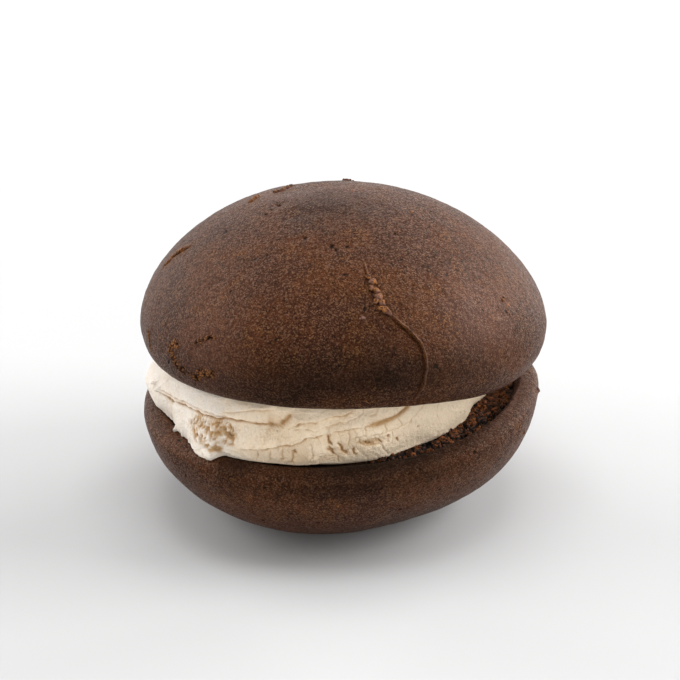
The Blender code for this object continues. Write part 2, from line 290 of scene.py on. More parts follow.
def read_points(piece: bpy.types.Object) -> Array:
    """The vertices of a piece, one to a row."""
    points = np.empty(len(piece.data.vertices) * 3)
    piece.data.vertices.foreach_get("co", points)
    return points.reshape(-1, 3)


def write_points(piece: bpy.types.Object, points: Array) -> None:
    """Moves the vertices of a piece."""
    piece.data.vertices.foreach_set("co", points.astype(np.float32).ravel())
    piece.data.update()


def face_centres(piece: bpy.types.Object) -> Array:
    """The middle of each face of a piece, one to a row."""
    centres = np.empty(len(piece.data.polygons) * 3)
    piece.data.polygons.foreach_get("center", centres)
    return centres.reshape(-1, 3)


def cut(piece: bpy.types.Object, wanted: Array, cuts: int, edges: bool = False) -> None:
    """Subdivides some faces or edges of a piece.

    Args:
        piece: The piece.
        wanted: Whether each face or edge is cut.
        cuts: How many cuts an edge gets.
        edges: Whether edges are meant, and not faces.
    """
    bpy.ops.object.mode_set(mode="EDIT")
    bpy.context.tool_settings.mesh_select_mode = (False, edges, not edges)
    bpy.ops.mesh.select_all(action="DESELECT")
    bpy.ops.object.mode_set(mode="OBJECT")
    chosen = piece.data.edges if edges else piece.data.polygons
    chosen.foreach_set("select", wanted)
    bpy.ops.object.mode_set(mode="EDIT")
    bpy.ops.mesh.subdivide(number_cuts=cuts)
    bpy.ops.object.mode_set(mode="OBJECT")


def add_ball(name: str, cuts: tuple[int, ...]) -> bpy.types.Object:
    """A cube cut into a fine grid, which blows up to a ball of nearly even cells.

    Args:
        name: The piece's name.
        cuts: The cuts of each subdivision, one after the other.

    Returns:
        The ball, of radius 1.
    """
    piece = add_primitive(name, bpy.ops.mesh.primitive_cube_add, size=2.0)
    for count in cuts:
        cut(piece, np.ones(len(piece.data.polygons), bool), count)
    warped = np.tan(read_points(piece) * math.pi / 4.0)
    write_points(piece, warped / np.linalg.norm(warped, axis=1, keepdims=True))
    return piece


def add_drum(name: str, segments: int, rings: int) -> bpy.types.Object:
    """A capped cylinder with evenly spaced rings from height -1 to 1.

    Args:
        name: The piece's name.
        segments: How many faces go round.
        rings: How many rings of vertices its side has.

    Returns:
        The cylinder.
    """
    shape = {"vertices": segments, "radius": 1.0, "depth": 2.0, "end_fill_type": "NGON"}
    piece = add_primitive(name, bpy.ops.mesh.primitive_cylinder_add, **shape)
    ends = np.empty(len(piece.data.edges) * 2, np.int32)
    piece.data.edges.foreach_get("vertices", ends)
    heights = read_points(piece)[ends, 2].reshape(-1, 2)
    cut(piece, np.abs(heights[:, 0] - heights[:, 1]) > 1.0, rings - 2, edges=True)
    return piece


def paint(piece: bpy.types.Object, name: str, values: Array) -> None:
    """Stores one number for each vertex, which the piece's material reads."""
    attribute = piece.data.attributes.new(name, "FLOAT", "POINT")
    attribute.data.foreach_set("value", values.astype(np.float32))


def placed(points: Array, placement: Matrix) -> Array:
    """Points in millimetres of a cake's own frame, as metres in the pie's frame."""
    matrix = np.array(placement)
    return (points @ matrix[:3, :3].T + matrix[:3, 3]) * MM


def hand_over(piece: bpy.types.Object, finish: bpy.types.Material, solid: Solid) -> None:
    """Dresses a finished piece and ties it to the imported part.

    Args:
        piece: The finished piece.
        finish: Its material.
        solid: The solid that it stands for.
    """
    piece.data.materials.clear()
    piece.data.materials.append(finish)
    piece.data.shade_smooth()
    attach(piece, ROOT)
    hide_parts(solid.value)
    piece.data.calc_loop_triangles()
    log.info("%s: %d triangles, stands for %s", piece.name, len(piece.data.loop_triangles), solid.value)


# Finishes

# Painted on the crusts: torn crumb, painted shade in pits and cracks, pale specks with painted highlights and sheen,
# and painted shade.
CRUST_SHADES = ("torn", "pit_shade", "pale_and_highlight", "shade")
# A colour mix node's factor, its two colours and its result, by number because their names repeat.
MIX_INPUTS = (0, 6, 7)
MIX_RESULT = 2


def colour(code: str) -> Colour:
    """Turns a six-digit sRGB hex code into a linear colour."""
    shares = [int(code[start : start + 2], 16) / 255.0 for start in (0, 2, 4)]
    linear = [s / 12.92 if s <= 0.04045 else ((s + 0.055) / 1.055) ** 2.4 for s in shares]
    return (*linear, 1.0)


def per_metre(size: float) -> float:
    """The scale of a pattern whose features lie this many millimetres apart."""
    return 1.0 / (size * MM)


def add_node(tree: bpy.types.NodeTree, kind: str, inputs: dict | None = None, **settings) -> bpy.types.Node:
    """Adds a node with its settings and links.

    Args:
        tree: The material's node tree.
        kind: The node's type.
        inputs: For each input, by name or number, a value or an output to link.
        **settings: The node's own settings.

    Returns:
        The new node.
    """
    node = tree.nodes.new(kind)
    for name, value in settings.items():
        setattr(node, name, value)
    for name, value in (inputs or {}).items():
        if isinstance(value, Socket):
            tree.links.new(value, node.inputs[name])
        else:
            node.inputs[name].default_value = value
    return node


class Look:
    """A material in the making: its nodes, its shader and the piece's own coordinates."""

    def __init__(self, name: str) -> None:
        """Starts the material under the real material's name."""
        self.material = bpy.data.materials.new(name)
        self.material.use_nodes = True
        self.tree = self.material.node_tree
        self.shader = self.tree.nodes["Principled BSDF"]
        self.place = add_node(self.tree, "ShaderNodeTexCoord").outputs["Object"]

    def noise(self, size: float, detail: float, roughness: float) -> Socket:
        """A noise pattern from 0 to 1, with spots that many millimetres apart and finer layers."""
        inputs = {"Vector": self.place, "Scale": per_metre(size), "Detail": detail, "Roughness": roughness}
        return add_node(self.tree, "ShaderNodeTexNoise", inputs).outputs["Fac"]

    def band(self, value: Socket, low: float, high: float, peak: float = 1.0) -> Socket:
        """Eases an output from 0 at low to a peak at high."""
        inputs = {"Value": value, "From Min": low, "From Max": high, "To Max": peak}
        return add_node(self.tree, "ShaderNodeMapRange", inputs, interpolation_type="SMOOTHSTEP").outputs["Result"]

    def blend(self, factor: Socket, first: Socket | str, second: Socket | str) -> Socket:
        """Mixes two colours, each an output or a hex code, by how much of the second shows."""
        tones = [colour(tone) if isinstance(tone, str) else tone for tone in (first, second)]
        inputs = dict(zip(MIX_INPUTS, (factor, *tones)))
        return add_node(self.tree, "ShaderNodeMix", inputs, data_type="RGBA").outputs[MIX_RESULT]

    def painted(self, name: str) -> Socket:
        """The numbers that are painted on the piece under a name."""
        return add_node(self.tree, "ShaderNodeAttribute", attribute_name=name).outputs["Fac"]

    def reckon(self, operation: str, first: Socket | float, second: Socket | float) -> Socket:
        """What a sum or product of outputs and numbers gives."""
        return add_node(self.tree, "ShaderNodeMath", {0: first, 1: second}, operation=operation).outputs[0]

    def bump(self, height: Socket, size: float, **below: Socket) -> Socket:
        """The normal over relief of that many millimetres, on top of another Normal if one is given."""
        inputs = {"Height": height, "Strength": 1.0, "Distance": size * MM, **below}
        return add_node(self.tree, "ShaderNodeBump", inputs).outputs["Normal"]

    def finished(self, **shading: Socket | float | Colour) -> bpy.types.Material:
        """Sets or links the shader's sockets, named with low lines for spaces, and gives the material."""
        for name, value in shading.items():
            socket = self.shader.inputs[name.replace("_", " ")]
            if isinstance(value, Socket):
                self.tree.links.new(value, socket)
            else:
                socket.default_value = value
        return self.material


@dataclass(frozen=True)
class CrustFinish:
    """Baked chocolate crust.

    Cocoa batter that dried in the oven: to the eye a dark brown skin of fine bright and dark grains with
    a broken satin sheen, tinted redder and greyer in large soft patches. Where it is torn, the orange-brown
    crumb below shows. Sizes are millimetres.
    """

    name: str
    grain_size: float = 0.26
    fleck_size: float = 0.416
    mottle_size: float = 2.2
    patch_size: float = 5.0
    tint_size: float = 13.0
    pore_size: float = 1.9
    warm: str = "4c260e"
    cool: str = "3b1d10"
    bright: str = "6c4a35"
    golden: str = "85582c"
    dark: str = "150601"
    shaded: str = "0b0301"
    torn: str = "986230"
    torn_dark: str = "3a1a0a"
    speck_and_highlight_tone: str = "8e6a5e"
    oil: str = "ffdcbe"
    roughness_low: float = 0.31
    roughness_high: float = 0.62
    shade_dulls: float = 0.3
    specular: float = 0.15
    grain_bump: float = 0.16
    lump_bump: float = 0.45

    def material(self) -> bpy.types.Material:
        """Builds the crust's material.

        Returns:
            The material.
        """
        look = Look(self.name)
        cells = {"Vector": look.place, "Scale": per_metre(self.grain_size)}
        grains = add_node(look.tree, "ShaderNodeTexVoronoi", cells)
        grain = add_node(look.tree, "ShaderNodeSeparateColor", {0: grains.outputs["Color"]}).outputs[0]
        mottle = look.noise(self.mottle_size, 3.0, 0.6)
        patch = look.noise(self.patch_size, 2.0, 0.6)
        tint = look.noise(self.tint_size, 3.0, 0.55)
        pore = look.band(look.noise(self.pore_size, 1.0, 0.4), 0.27, 0.19)

        body = look.blend(look.band(tint, 0.40, 0.60), self.warm, self.cool)
        body = look.blend(look.band(mottle, 0.48, 0.70, 0.5), body, self.dark)
        speck = look.blend(look.band(patch, 0.50, 0.70, 0.6), self.bright, self.golden)
        body = look.blend(look.band(grain, 0.54, 1.0), body, speck)
        body = look.blend(look.band(grain, 0.34, 0.0, 0.9), body, self.dark)
        body = look.blend(pore, body, self.dark)

        torn, pit_shade, pale_and_highlight, shade = map(look.painted, CRUST_SHADES)
        flecks = look.noise(self.fleck_size, 1.0, 0.5)
        crumb = look.blend(look.band(flecks, 0.56, 0.40), self.torn, self.torn_dark)
        # Painted shade: the shaded colour goes where the cake painted its shade.
        body = look.blend(shade, body, self.shaded)
        body = look.blend(torn, body, crumb)
        # Painted highlights and sheen, with a few pale specks, in the lilac tone.
        body = look.blend(pale_and_highlight, body, self.speck_and_highlight_tone)
        # Painted shade in pits, cracks, the seam's groove and beside its strand.
        body = look.blend(pit_shade, body, self.dark)

        normal = look.bump(look.reckon("SUBTRACT", mottle, pore), self.lump_bump)
        pimple = look.reckon("MULTIPLY", look.reckon("SUBTRACT", 1.0, grains.outputs["Distance"]), grain)
        normal = look.bump(pimple, self.grain_bump, Normal=normal)
        gloss = {"Value": grain, "To Min": self.roughness_high, "To Max": self.roughness_low}
        sheen = add_node(look.tree, "ShaderNodeMapRange", gloss).outputs["Result"]
        roughness = look.reckon("ADD", sheen, look.reckon("MULTIPLY", shade, self.shade_dulls))
        shading = {"Specular_IOR_Level": self.specular, "Specular_Tint": colour(self.oil)}
        return look.finished(Base_Color=body, Normal=normal, Roughness=roughness, **shading)


@dataclass(frozen=True)
class CrumbFinish:
    """Open chocolate crumb.

    Torn cake: matte orange-brown grains round air holes, with painted shade that makes the holes and low places
    nearly black.
    """

    name: str
    grain_size: float = 0.42
    clump_size: float = 1.4
    bright: str = "8e5020"
    middle: str = "46240e"
    dark: str = "080301"
    roughness: float = 0.75
    specular: float = 0.3
    bump: float = 0.2

    def material(self) -> bpy.types.Material:
        """Builds the crumb's material.

        Returns:
            The material.
        """
        look = Look(self.name)
        grain = look.noise(self.grain_size, 2.0, 0.6)
        clump = look.noise(self.clump_size, 2.0, 0.5)
        body = look.blend(look.band(clump, 0.38, 0.62), self.middle, self.bright)
        body = look.blend(look.band(grain, 0.54, 0.38), body, self.dark)
        # Painted shade in holes and low places.
        body = look.blend(look.painted("hole_shade"), body, self.dark)
        shading = {"Roughness": self.roughness, "Specular_IOR_Level": self.specular}
        return look.finished(Base_Color=body, Normal=look.bump(grain, self.bump), **shading)


@dataclass(frozen=True)
class CreamFinish:
    """Spread cream.

    Whipped shortening and sugar with a dried skin: to the eye matte ivory, tan in its cracks and pores,
    with a faint soft shine. Painted shade darkens its ledges, grooves, folds and pits, a painted highlight
    whitens what stands proud, and painted warm bounce light makes it warmer away from its left end.
    """

    name: str
    mottle_size: float = 3.2
    grain_size: float = 0.38
    wrinkle_size: float = 1.1
    wrinkle_share: float = 1.3
    white: str = "efe5d8"
    ivory: str = "f4dfc2"
    tan: str = "c09a6b"
    dark: str = "7c6246"
    # The left end stays white and the rest turns ivory: painted warm bounce light.
    white_until: float = -34.0
    ivory_from: float = -12.0
    roughness: float = 0.5
    specular: float = 0.25
    bump: float = 0.20

    def material(self) -> bpy.types.Material:
        """Builds the cream's material.

        Returns:
            The material.
        """
        look = Look(self.name)
        mottle = look.noise(self.mottle_size, 3.0, 0.55)
        grain = look.noise(self.grain_size, 1.0, 0.5)
        wrinkle = look.noise(self.wrinkle_size, 2.0, 0.6)
        across = add_node(look.tree, "ShaderNodeSeparateXYZ", {0: look.place}).outputs["X"]
        # Painted warm bounce light, along X.
        warm_bounce = look.band(across, self.white_until * MM, self.ivory_from * MM, 0.75)
        stain_and_shade = look.painted("stain_and_shade")
        body = look.blend(look.band(look.reckon("ADD", mottle, warm_bounce), 0.45, 1.2), self.white, self.ivory)
        body = look.blend(look.band(grain, 0.50, 0.32, 0.14), body, self.tan)
        # Tan stain, then the darker painted shade of ledges, grooves and pits.
        body = look.blend(look.band(stain_and_shade, 0.0, 0.5), body, self.tan)
        body = look.blend(look.band(stain_and_shade, 0.45, 1.0), body, self.dark)
        height = look.reckon("ADD", grain, look.reckon("MULTIPLY", wrinkle, self.wrinkle_share))
        shading = {"Roughness": self.roughness, "Specular_IOR_Level": self.specular}
        return look.finished(Base_Color=body, Normal=look.bump(height, self.bump), **shading)


@dataclass(frozen=True)
class FloorFinish:
    """Matt white studio paper."""

    name: str = "white_studio_paper"
    fibre_size: float = 400.0
    paper: str = "c4c4c4"
    shade: str = "c0c0c0"
    roughness: float = 0.9
    specular: float = 0.1

    def material(self) -> bpy.types.Material:
        """Builds the paper's material."""
        look = Look(self.name)
        body = look.blend(look.noise(self.fibre_size, 1.0, 0.5), self.paper, self.shade)
        return look.finished(Base_Color=body, Roughness=self.roughness, Specular_IOR_Level=self.specular)


# Cakes


@dataclass(frozen=True)
class CakeForm:
    """The outline of a cake, measured from its widest ring, in millimetres."""

    radius: float
    crown_height: float
    shoulder_power: float
    crown_power: float
    rim_height: float
    rim_width: float
    sink_width: float
    sink_depth: float
    lobes: tuple[tuple[int, float, float], ...]
    crown_side: int
    rim_end: float = 123.0
    sink_end: float = 130.0
    flattening: float = 1.2
    flat_radius: float = 12.0

    def lobed(self, azimuth: Array) -> Array:
        """How far out of round the cake is at an azimuth, as a share of its radius."""
        angle = np.radians(azimuth)
        return 1.0 + sum(e * np.cos(n * angle) + o * np.sin(n * angle) for n, e, o in self.lobes)

    def outline(self, polar: Array, sink_width: Array | float) -> tuple[Array, Array]:
        """The cake's outline from the crown to the middle of its flat side.

        Args:
            polar: The angle from the crown, in degrees.
            sink_width: How wide the step down to the sunk crumb is.

        Returns:
            The radius, and the height on the crown's side of the widest ring.
        """
        rim_radius = self.radius - self.rim_width
        angle = np.radians(np.clip(polar, 0.0, 90.0))
        crown_radius = self.radius * np.sin(angle) ** (2.0 / self.shoulder_power)
        crown = self.crown_height * np.clip(np.cos(angle), 0.0, 1.0) ** (2.0 / self.crown_power)
        crown = crown - self.flattening * bell(crown_radius, self.flat_radius)
        turn = np.radians(90.0 * np.clip((polar - 90.0) / (self.rim_end - 90.0), 0.0, 1.0))
        edge_radius = rim_radius + self.rim_width * np.cos(turn)
        edge = -self.rim_height * np.sin(turn)
        share = np.clip((polar - self.rim_end) / (self.sink_end - self.rim_end), 0.0, 1.0)
        step_radius = rim_radius - sink_width * share
        step = -self.rim_height + self.sink_depth * smooth(share, 0.0, 1.0)
        inner = np.clip((180.0 - polar) / (180.0 - self.sink_end), 0.0, 1.0)
        flat_radius = (rim_radius - sink_width) * inner
        bands = [polar <= 90.0, polar <= self.rim_end, polar <= self.sink_end]
        radius = np.select(bands, [crown_radius, edge_radius, step_radius], flat_radius)
        height = np.select(bands, [crown, edge, step], self.sink_depth - self.rim_height)
        return radius, height

    def surface(self, directions: Array, sink_width: Array | float) -> tuple[Array, Array, Array]:
        """Blows the directions of a ball up to the cake's surface.

        Args:
            directions: Unit vectors, one to a row.
            sink_width: How wide the step down to the sunk crumb is.

        Returns:
            The points, their azimuth and their polar angle from the crown.
        """
        azimuth = azimuth_of(directions)
        polar = np.degrees(np.arccos(np.clip(self.crown_side * directions[:, 2], -1.0, 1.0)))
        radius, height = self.outline(polar, sink_width)
        points = on_ring(radius * self.lobed(azimuth), azimuth)
        points[:, 2] = self.crown_side * height
        return points, azimuth, polar

    def side_path(self, knots: Knots, steps: int = 6) -> Array:
        """A smooth path on the cake's side.

        Args:
            knots: Pairs of azimuth and height above the widest ring.
            steps: Steps between two knots.

        Returns:
            The path's points, one to a row.
        """
        curve = curve_through(np.array(knots, float), steps)
        polar = np.linspace(4.0, self.rim_end, 1500)
        radius, height = self.outline(polar, self.sink_width)
        found = np.interp(-curve[:, 1], -height, radius) * self.lobed(curve[:, 0])
        path = on_ring(found, curve[:, 0])
        path[:, 2] = self.crown_side * curve[:, 1]
        return path


TOP_FORM = CakeForm(45.0, 30.4, 1.82, 1.77, 8.7, 5.4, 0.0, 0.0, ((2, 0.0, -0.007), (3, 0.017, -0.001)), 1)
BOTTOM_FORM = CakeForm(43.8, 25.2, 2.25, 1.76, 2.6, 3.9, 2.4, 1.3, ((2, 0.008, 0.008), (3, 0.016, 0.002)), -1)

FOOT_CUT = 2.5
BOTTOM_CENTRE = Vector((-1.165, -1.558, BOTTOM_FORM.crown_height - FOOT_CUT))
BOTTOM_ROLL = math.radians(-1.6)
TOP_CENTRE = BOTTOM_CENTRE + Vector((0.4, 2.0, 18.9))
TOP_TILT = math.radians(-8.7)
TOP_ROLL = math.radians(0.6)
BOTTOM_PLACEMENT = Matrix.Translation(BOTTOM_CENTRE) @ Matrix.Rotation(BOTTOM_ROLL, 4, "Y")
TOP_PLACEMENT = (
    Matrix.Translation(TOP_CENTRE) @ Matrix.Rotation(TOP_TILT, 4, "X") @ Matrix.Rotation(TOP_ROLL, 4, "Y")
)


@dataclass(frozen=True)
class Turn:
    """A stretch round the pie: the azimuth of its middle, its span and how strong it is there."""

    azimuth: float
    span: float
    strength: float = 1.0

    def reach(self, azimuth: Array) -> Array:
        """How strongly the stretch acts at each azimuth."""
        return self.strength * bell(turned(azimuth, self.azimuth), self.span)


@dataclass(frozen=True)
class Zone:
    """A soft-edged zone of a cake, where its crust is sunk, darkened by painted shade or lightened by painted sheen.
    """

    centre: tuple[float, float, float]
    radius: float
    amount: float

    def reach(self, points: Array) -> Array:
        """How strongly the zone shows at each point."""
        return self.amount * bell(np.linalg.norm(points - np.array(self.centre), axis=1), self.radius)


@dataclass(frozen=True)
class Skin:
    """The uneven skin that baking gives a dome: slow swells, then lumps, then fine pimples."""

    grain: Grain
    swell: float = 0.25
    lump: float = 0.15
    pimple: float = 0.06

    def relief(self, points: Array, polar: Array) -> Array:
        """Reads the skin's height.

        Args:
            points: Points of the cake.
            polar: Their angle from the crown.

        Returns:
            How far the skin stands out at each point.
        """
        domed = smooth(polar, 5.0, 30.0) * (1.0 - smooth(polar, 70.0, 90.0))
        swell = self.swell * domed * self.grain.lumps(points, 26.0)
        lump = self.lump * self.grain.layers(points, 7.0, 2)
        return swell + lump + self.pimple * self.grain.layers(points, 1.5, 2)


@dataclass(frozen=True)
class Marks:
    """What a feature does to a crust: its relief, its torn crust, its painted shade in pits, and its pale specks and
    painted highlights.
    """

    rise: Array
    torn: Array
    pit_shade: Array
    pale_and_highlight: Array

    def added_to(self, other: "Marks") -> "Marks":
        """Both features together."""
        shown = (np.maximum(mine, theirs) for mine, theirs in zip(self.shades(), other.shades()))
        return Marks(self.rise + other.rise, *shown)

    def shades(self) -> tuple[Array, Array, Array]:
        """How much torn crust, painted shade in pits, and pale specks with painted highlights show."""
        return self.torn, self.pit_shade, self.pale_and_highlight


def wobbled(grain: Grain, points: Array, size: float, amount: float) -> Array:
    """Points pushed about a little, so that what follows them comes out uneven."""
    return points + amount * np.stack([grain.lumps(points + 31.0 * axis, size) for axis in range(3)], axis=1)


@dataclass(frozen=True)
class Seam:
    """The raised seam on the upper cake: a torn lumpy strand that runs out into a thin fold.

    The blobs are azimuth, height, radius and how far they stand out.
    """

    knots: Knots = (
        (-81.6, 22.4), (-80.6, 19.9), (-80.0, 18.5), (-79.2, 17.3), (-78.4, 15.9), (-77.2, 14.3), (-76.0, 12.9),
        (-74.9, 11.8), (-72.2, 10.0), (-69.8, 8.4), (-67.5, 6.4), (-66.7, 5.0), (-66.1, 3.2), (-66.0, 1.1),
        (-66.4, -0.9), (-66.9, -3.4), (-68.4, -5.6),
    )
    blobs: tuple[tuple[float, float, float, float], ...] = (
        (-79.8, 18.3, 0.55, 0.6), (-78.7, 17.5, 0.85, 0.9), (-79.4, 16.5, 0.70, 0.7), (-78.1, 16.1, 0.70, 0.8),
        (-77.6, 15.0, 0.85, 0.9), (-78.5, 14.3, 0.60, 0.7), (-76.9, 14.0, 0.75, 0.9), (-77.2, 12.9, 0.75, 0.8),
        (-76.1, 12.6, 0.85, 0.9), (-75.0, 12.1, 0.60, 0.6),
    )
    strand_from: float = 0.12
    strand_to: float = 0.47
    line_height: float = 0.36
    line_width: float = 0.15
    fold_height: float = 0.45
    fold_fall: float = 4.5
    groove_depth: float = 0.26
    groove_width: float = 0.22

    def marks(self, points: Array, grain: Grain) -> Marks:
        """Reads what the seam does to the upper cake.

        Args:
            points: Points of the upper cake.
            grain: The unevenness of the strand.

        Returns:
            The seam's marks.
        """
        path = TOP_FORM.side_path(self.knots)
        distance, along, offset = nearest_on(wobbled(grain, points, 1.3, 0.16), path)
        round_axis = np.stack([-points[:, 1], points[:, 0]], axis=1)
        length = np.maximum(np.linalg.norm(round_axis, axis=1), 1.0)
        side = np.sum(round_axis * offset[:, :2], axis=1) / length
        right = smooth(side, -0.08, 0.10)
        shown = smooth(along, 0.0, 0.1) * (1.0 - 0.5 * smooth(along, 0.9, 1.0))
        in_strand = smooth(along, self.strand_from - 0.03, self.strand_from + 0.02)
        in_strand *= 1.0 - smooth(along, self.strand_to - 0.04, self.strand_to + 0.03)
        upper = 1.0 - smooth(along, 0.62, 0.85)
        shown *= 1.0 - 0.8 * in_strand
        rise = self.line_height * shown * (0.35 + 0.65 * upper) * bell(side - 0.10, self.line_width)
        rise *= smooth(2.0 - distance, 0.0, 1.0)
        rise += self.fold_height * smooth(along, 0.2, 0.6) * shown * right * np.exp(-distance / self.fold_fall)
        groove = shown * bell(distance, 2.0) * bell(side + 0.24, self.groove_width)
        rise -= self.groove_depth * groove
        torn = shown * (0.15 + 0.35 * upper) * bell(distance, 0.24)
        pale_and_highlight = np.zeros(len(points))
        rough = wobbled(grain, wobbled(grain, points, 0.9, 0.42), 0.4, 0.16)
        heap = np.zeros(len(points))
        for azimuth, height, radius, stand in self.blobs:
            centre = TOP_FORM.side_path(((azimuth, height), (azimuth + 0.1, height)))[0]
            away = np.linalg.norm(rough - centre, axis=1) / radius
            heap = np.maximum(heap, stand * np.sqrt(np.clip(1.0 - away * away, 0.0, 1.0)))
        tone = grain.lumps(points + 5.0, 1.1)
        lump = smooth(heap, 0.05, 0.35)
        torn = np.maximum(torn, lump * (0.45 + 0.45 * smooth(tone, -0.25, 0.15)))
        # Pale lumps on the strand, as painted highlights.
        pale_and_highlight = np.maximum(pale_and_highlight, lump * (0.08 + 0.42 * smooth(-tone, 0.0, 0.35)))
        near = in_strand * smooth(1.6 - distance, 0.0, 0.8)
        rise += heap + 0.12 * near * grain.lumps(points, 0.6)
        # Painted shadow beside the strand, and painted shade in the groove.
        pit_shade = near * (1.0 - lump) * bell(side + 0.9, 0.7) * 0.6
        pit_shade = np.maximum(pit_shade, 0.35 * groove * upper)
        # A painted highlight along the lit edge of the line.
        pale_and_highlight = np.maximum(pale_and_highlight, 0.30 * shown * bell(side - 0.16, 0.13) * smooth(2.0 - distance, 0.0, 1.0))
        return Marks(rise, torn, pit_shade, pale_and_highlight)


@dataclass(frozen=True)
class Tear:
    """A crack where the crust is open down to the crumb, with torn lips."""

    knots: Knots
    width: float = 0.42
    depth: float = 0.9
    lip: float = 0.25
    torn: float = 0.85
    wobble: float = 0.22

    def marks(self, points: Array, path: Array, grain: Grain) -> Marks:
        """Reads what the tear does to the crust.

        Args:
            points: Points of the cake.
            path: The tear's middle line on the cake.
            grain: The unevenness of its edge.

        Returns:
            The tear's marks.
        """
        distance, along, _ = nearest_on(wobbled(grain, points, 1.2, self.wobble), path)
        ends = smooth(along, 0.0, 0.3) * (1.0 - smooth(along, 0.7, 1.0))
        width = self.width * (0.35 + 0.65 * ends)
        core = (0.3 + 0.7 * ends) * np.exp(-np.square(distance / width))
        lips = np.exp(-np.square((distance - 1.7 * width) / width)) * (0.4 + 0.6 * ends)
        ragged = 0.7 + 0.6 * grain.lumps(points, 0.8)
        rise = self.lip * lips * ragged - self.depth * core
        torn = self.torn * np.clip(lips * ragged + core, 0.0, 1.0)
        # The core of the crack carries painted shade.
        return Marks(rise, torn, smooth(core, 0.35, 0.8), np.zeros(len(points)))


@dataclass(frozen=True)
class PorePatch:
    """A patch where the crust flaked off and small grains of crumb show between open pores."""

    knots: Knots
    width: float
    grain_size: float = 0.62
    torn: float = 0.9
    depth: float = 0.35
    grains: float = 0.22
    wobble: float = 0.5

    def marks(self, points: Array, path: Array, grain: Grain) -> Marks:
        """Reads what the patch does to the crust.

        Args:
            points: Points of the cake.
            path: The patch's middle line on the cake.
            grain: The unevenness of its edge.

        Returns:
            The patch's marks.
        """
        distance, along, _ = nearest_on(wobbled(grain, points, 1.8, self.wobble), path)
        ends = 0.5 + 0.5 * smooth(along, 0.0, 0.15) * (1.0 - smooth(along, 0.85, 1.0))
        shown = smooth(ends * bell(distance, self.width) + 0.15 * grain.lumps(points, 0.9), 0.3, 0.62)
        first, second, owner = grain.pebbles(wobbled(grain, points, 0.6, 0.1), self.grain_size)
        crumb = shown * smooth(0.72 - first, 0.0, 0.25) * smooth(owner, 0.12, 0.3)
        gap = shown * np.maximum(smooth(0.10 - (second - first), 0.0, 0.10), smooth(0.22 - owner, 0.0, 0.08))
        # Painted shade in the gaps between grains.
        pit_shade = gap * min(1.0, self.depth / 0.35)
        return Marks(self.grains * crumb - self.depth * gap, self.torn * crumb, pit_shade, np.zeros(len(points)))


@dataclass(frozen=True)
class Spot:
    """A small grain, pinhole or torn fleck on a crust, at an azimuth and a height above the widest ring. Pinholes
    carry painted shade, and pale specks a painted highlight.
    """

    azimuth: float
    height: float
    radius: float
    stand: float = -0.8
    pale_and_highlight: float = 0.0
    torn: float = 0.0
    pit_shade: float = 1.0

    def centre(self, form: CakeForm) -> Array:
        """The spot's place on a cake."""
        level = form.crown_side * self.height
        return form.side_path(((self.azimuth, level), (self.azimuth + 0.1, level)))[0]

    def marks(self, points: Array, form: CakeForm, grain: Grain) -> Marks:
        """Reads what the spot does to a crust.

        Args:
            points: Points of the cake.
            form: The cake's form.
            grain: The unevenness of the spot.

        Returns:
            The spot's marks.
        """
        bent = wobbled(grain, points, 1.2 * self.radius, 0.5 * self.radius)
        shown = bell(np.linalg.norm(bent - self.centre(form), axis=1), self.radius)
        edge = smooth(shown, 0.15, 0.6)
        return Marks(self.stand * self.radius * shown, self.torn * edge, self.pit_shade * edge, self.pale_and_highlight * edge)


SIDE_CRACK = ((-174.6, 12.2), (-173.2, 13.6), (-173.4, 14.6), (-172.5, 15.7), (-169.7, 16.8), (-166.9, 18.0))


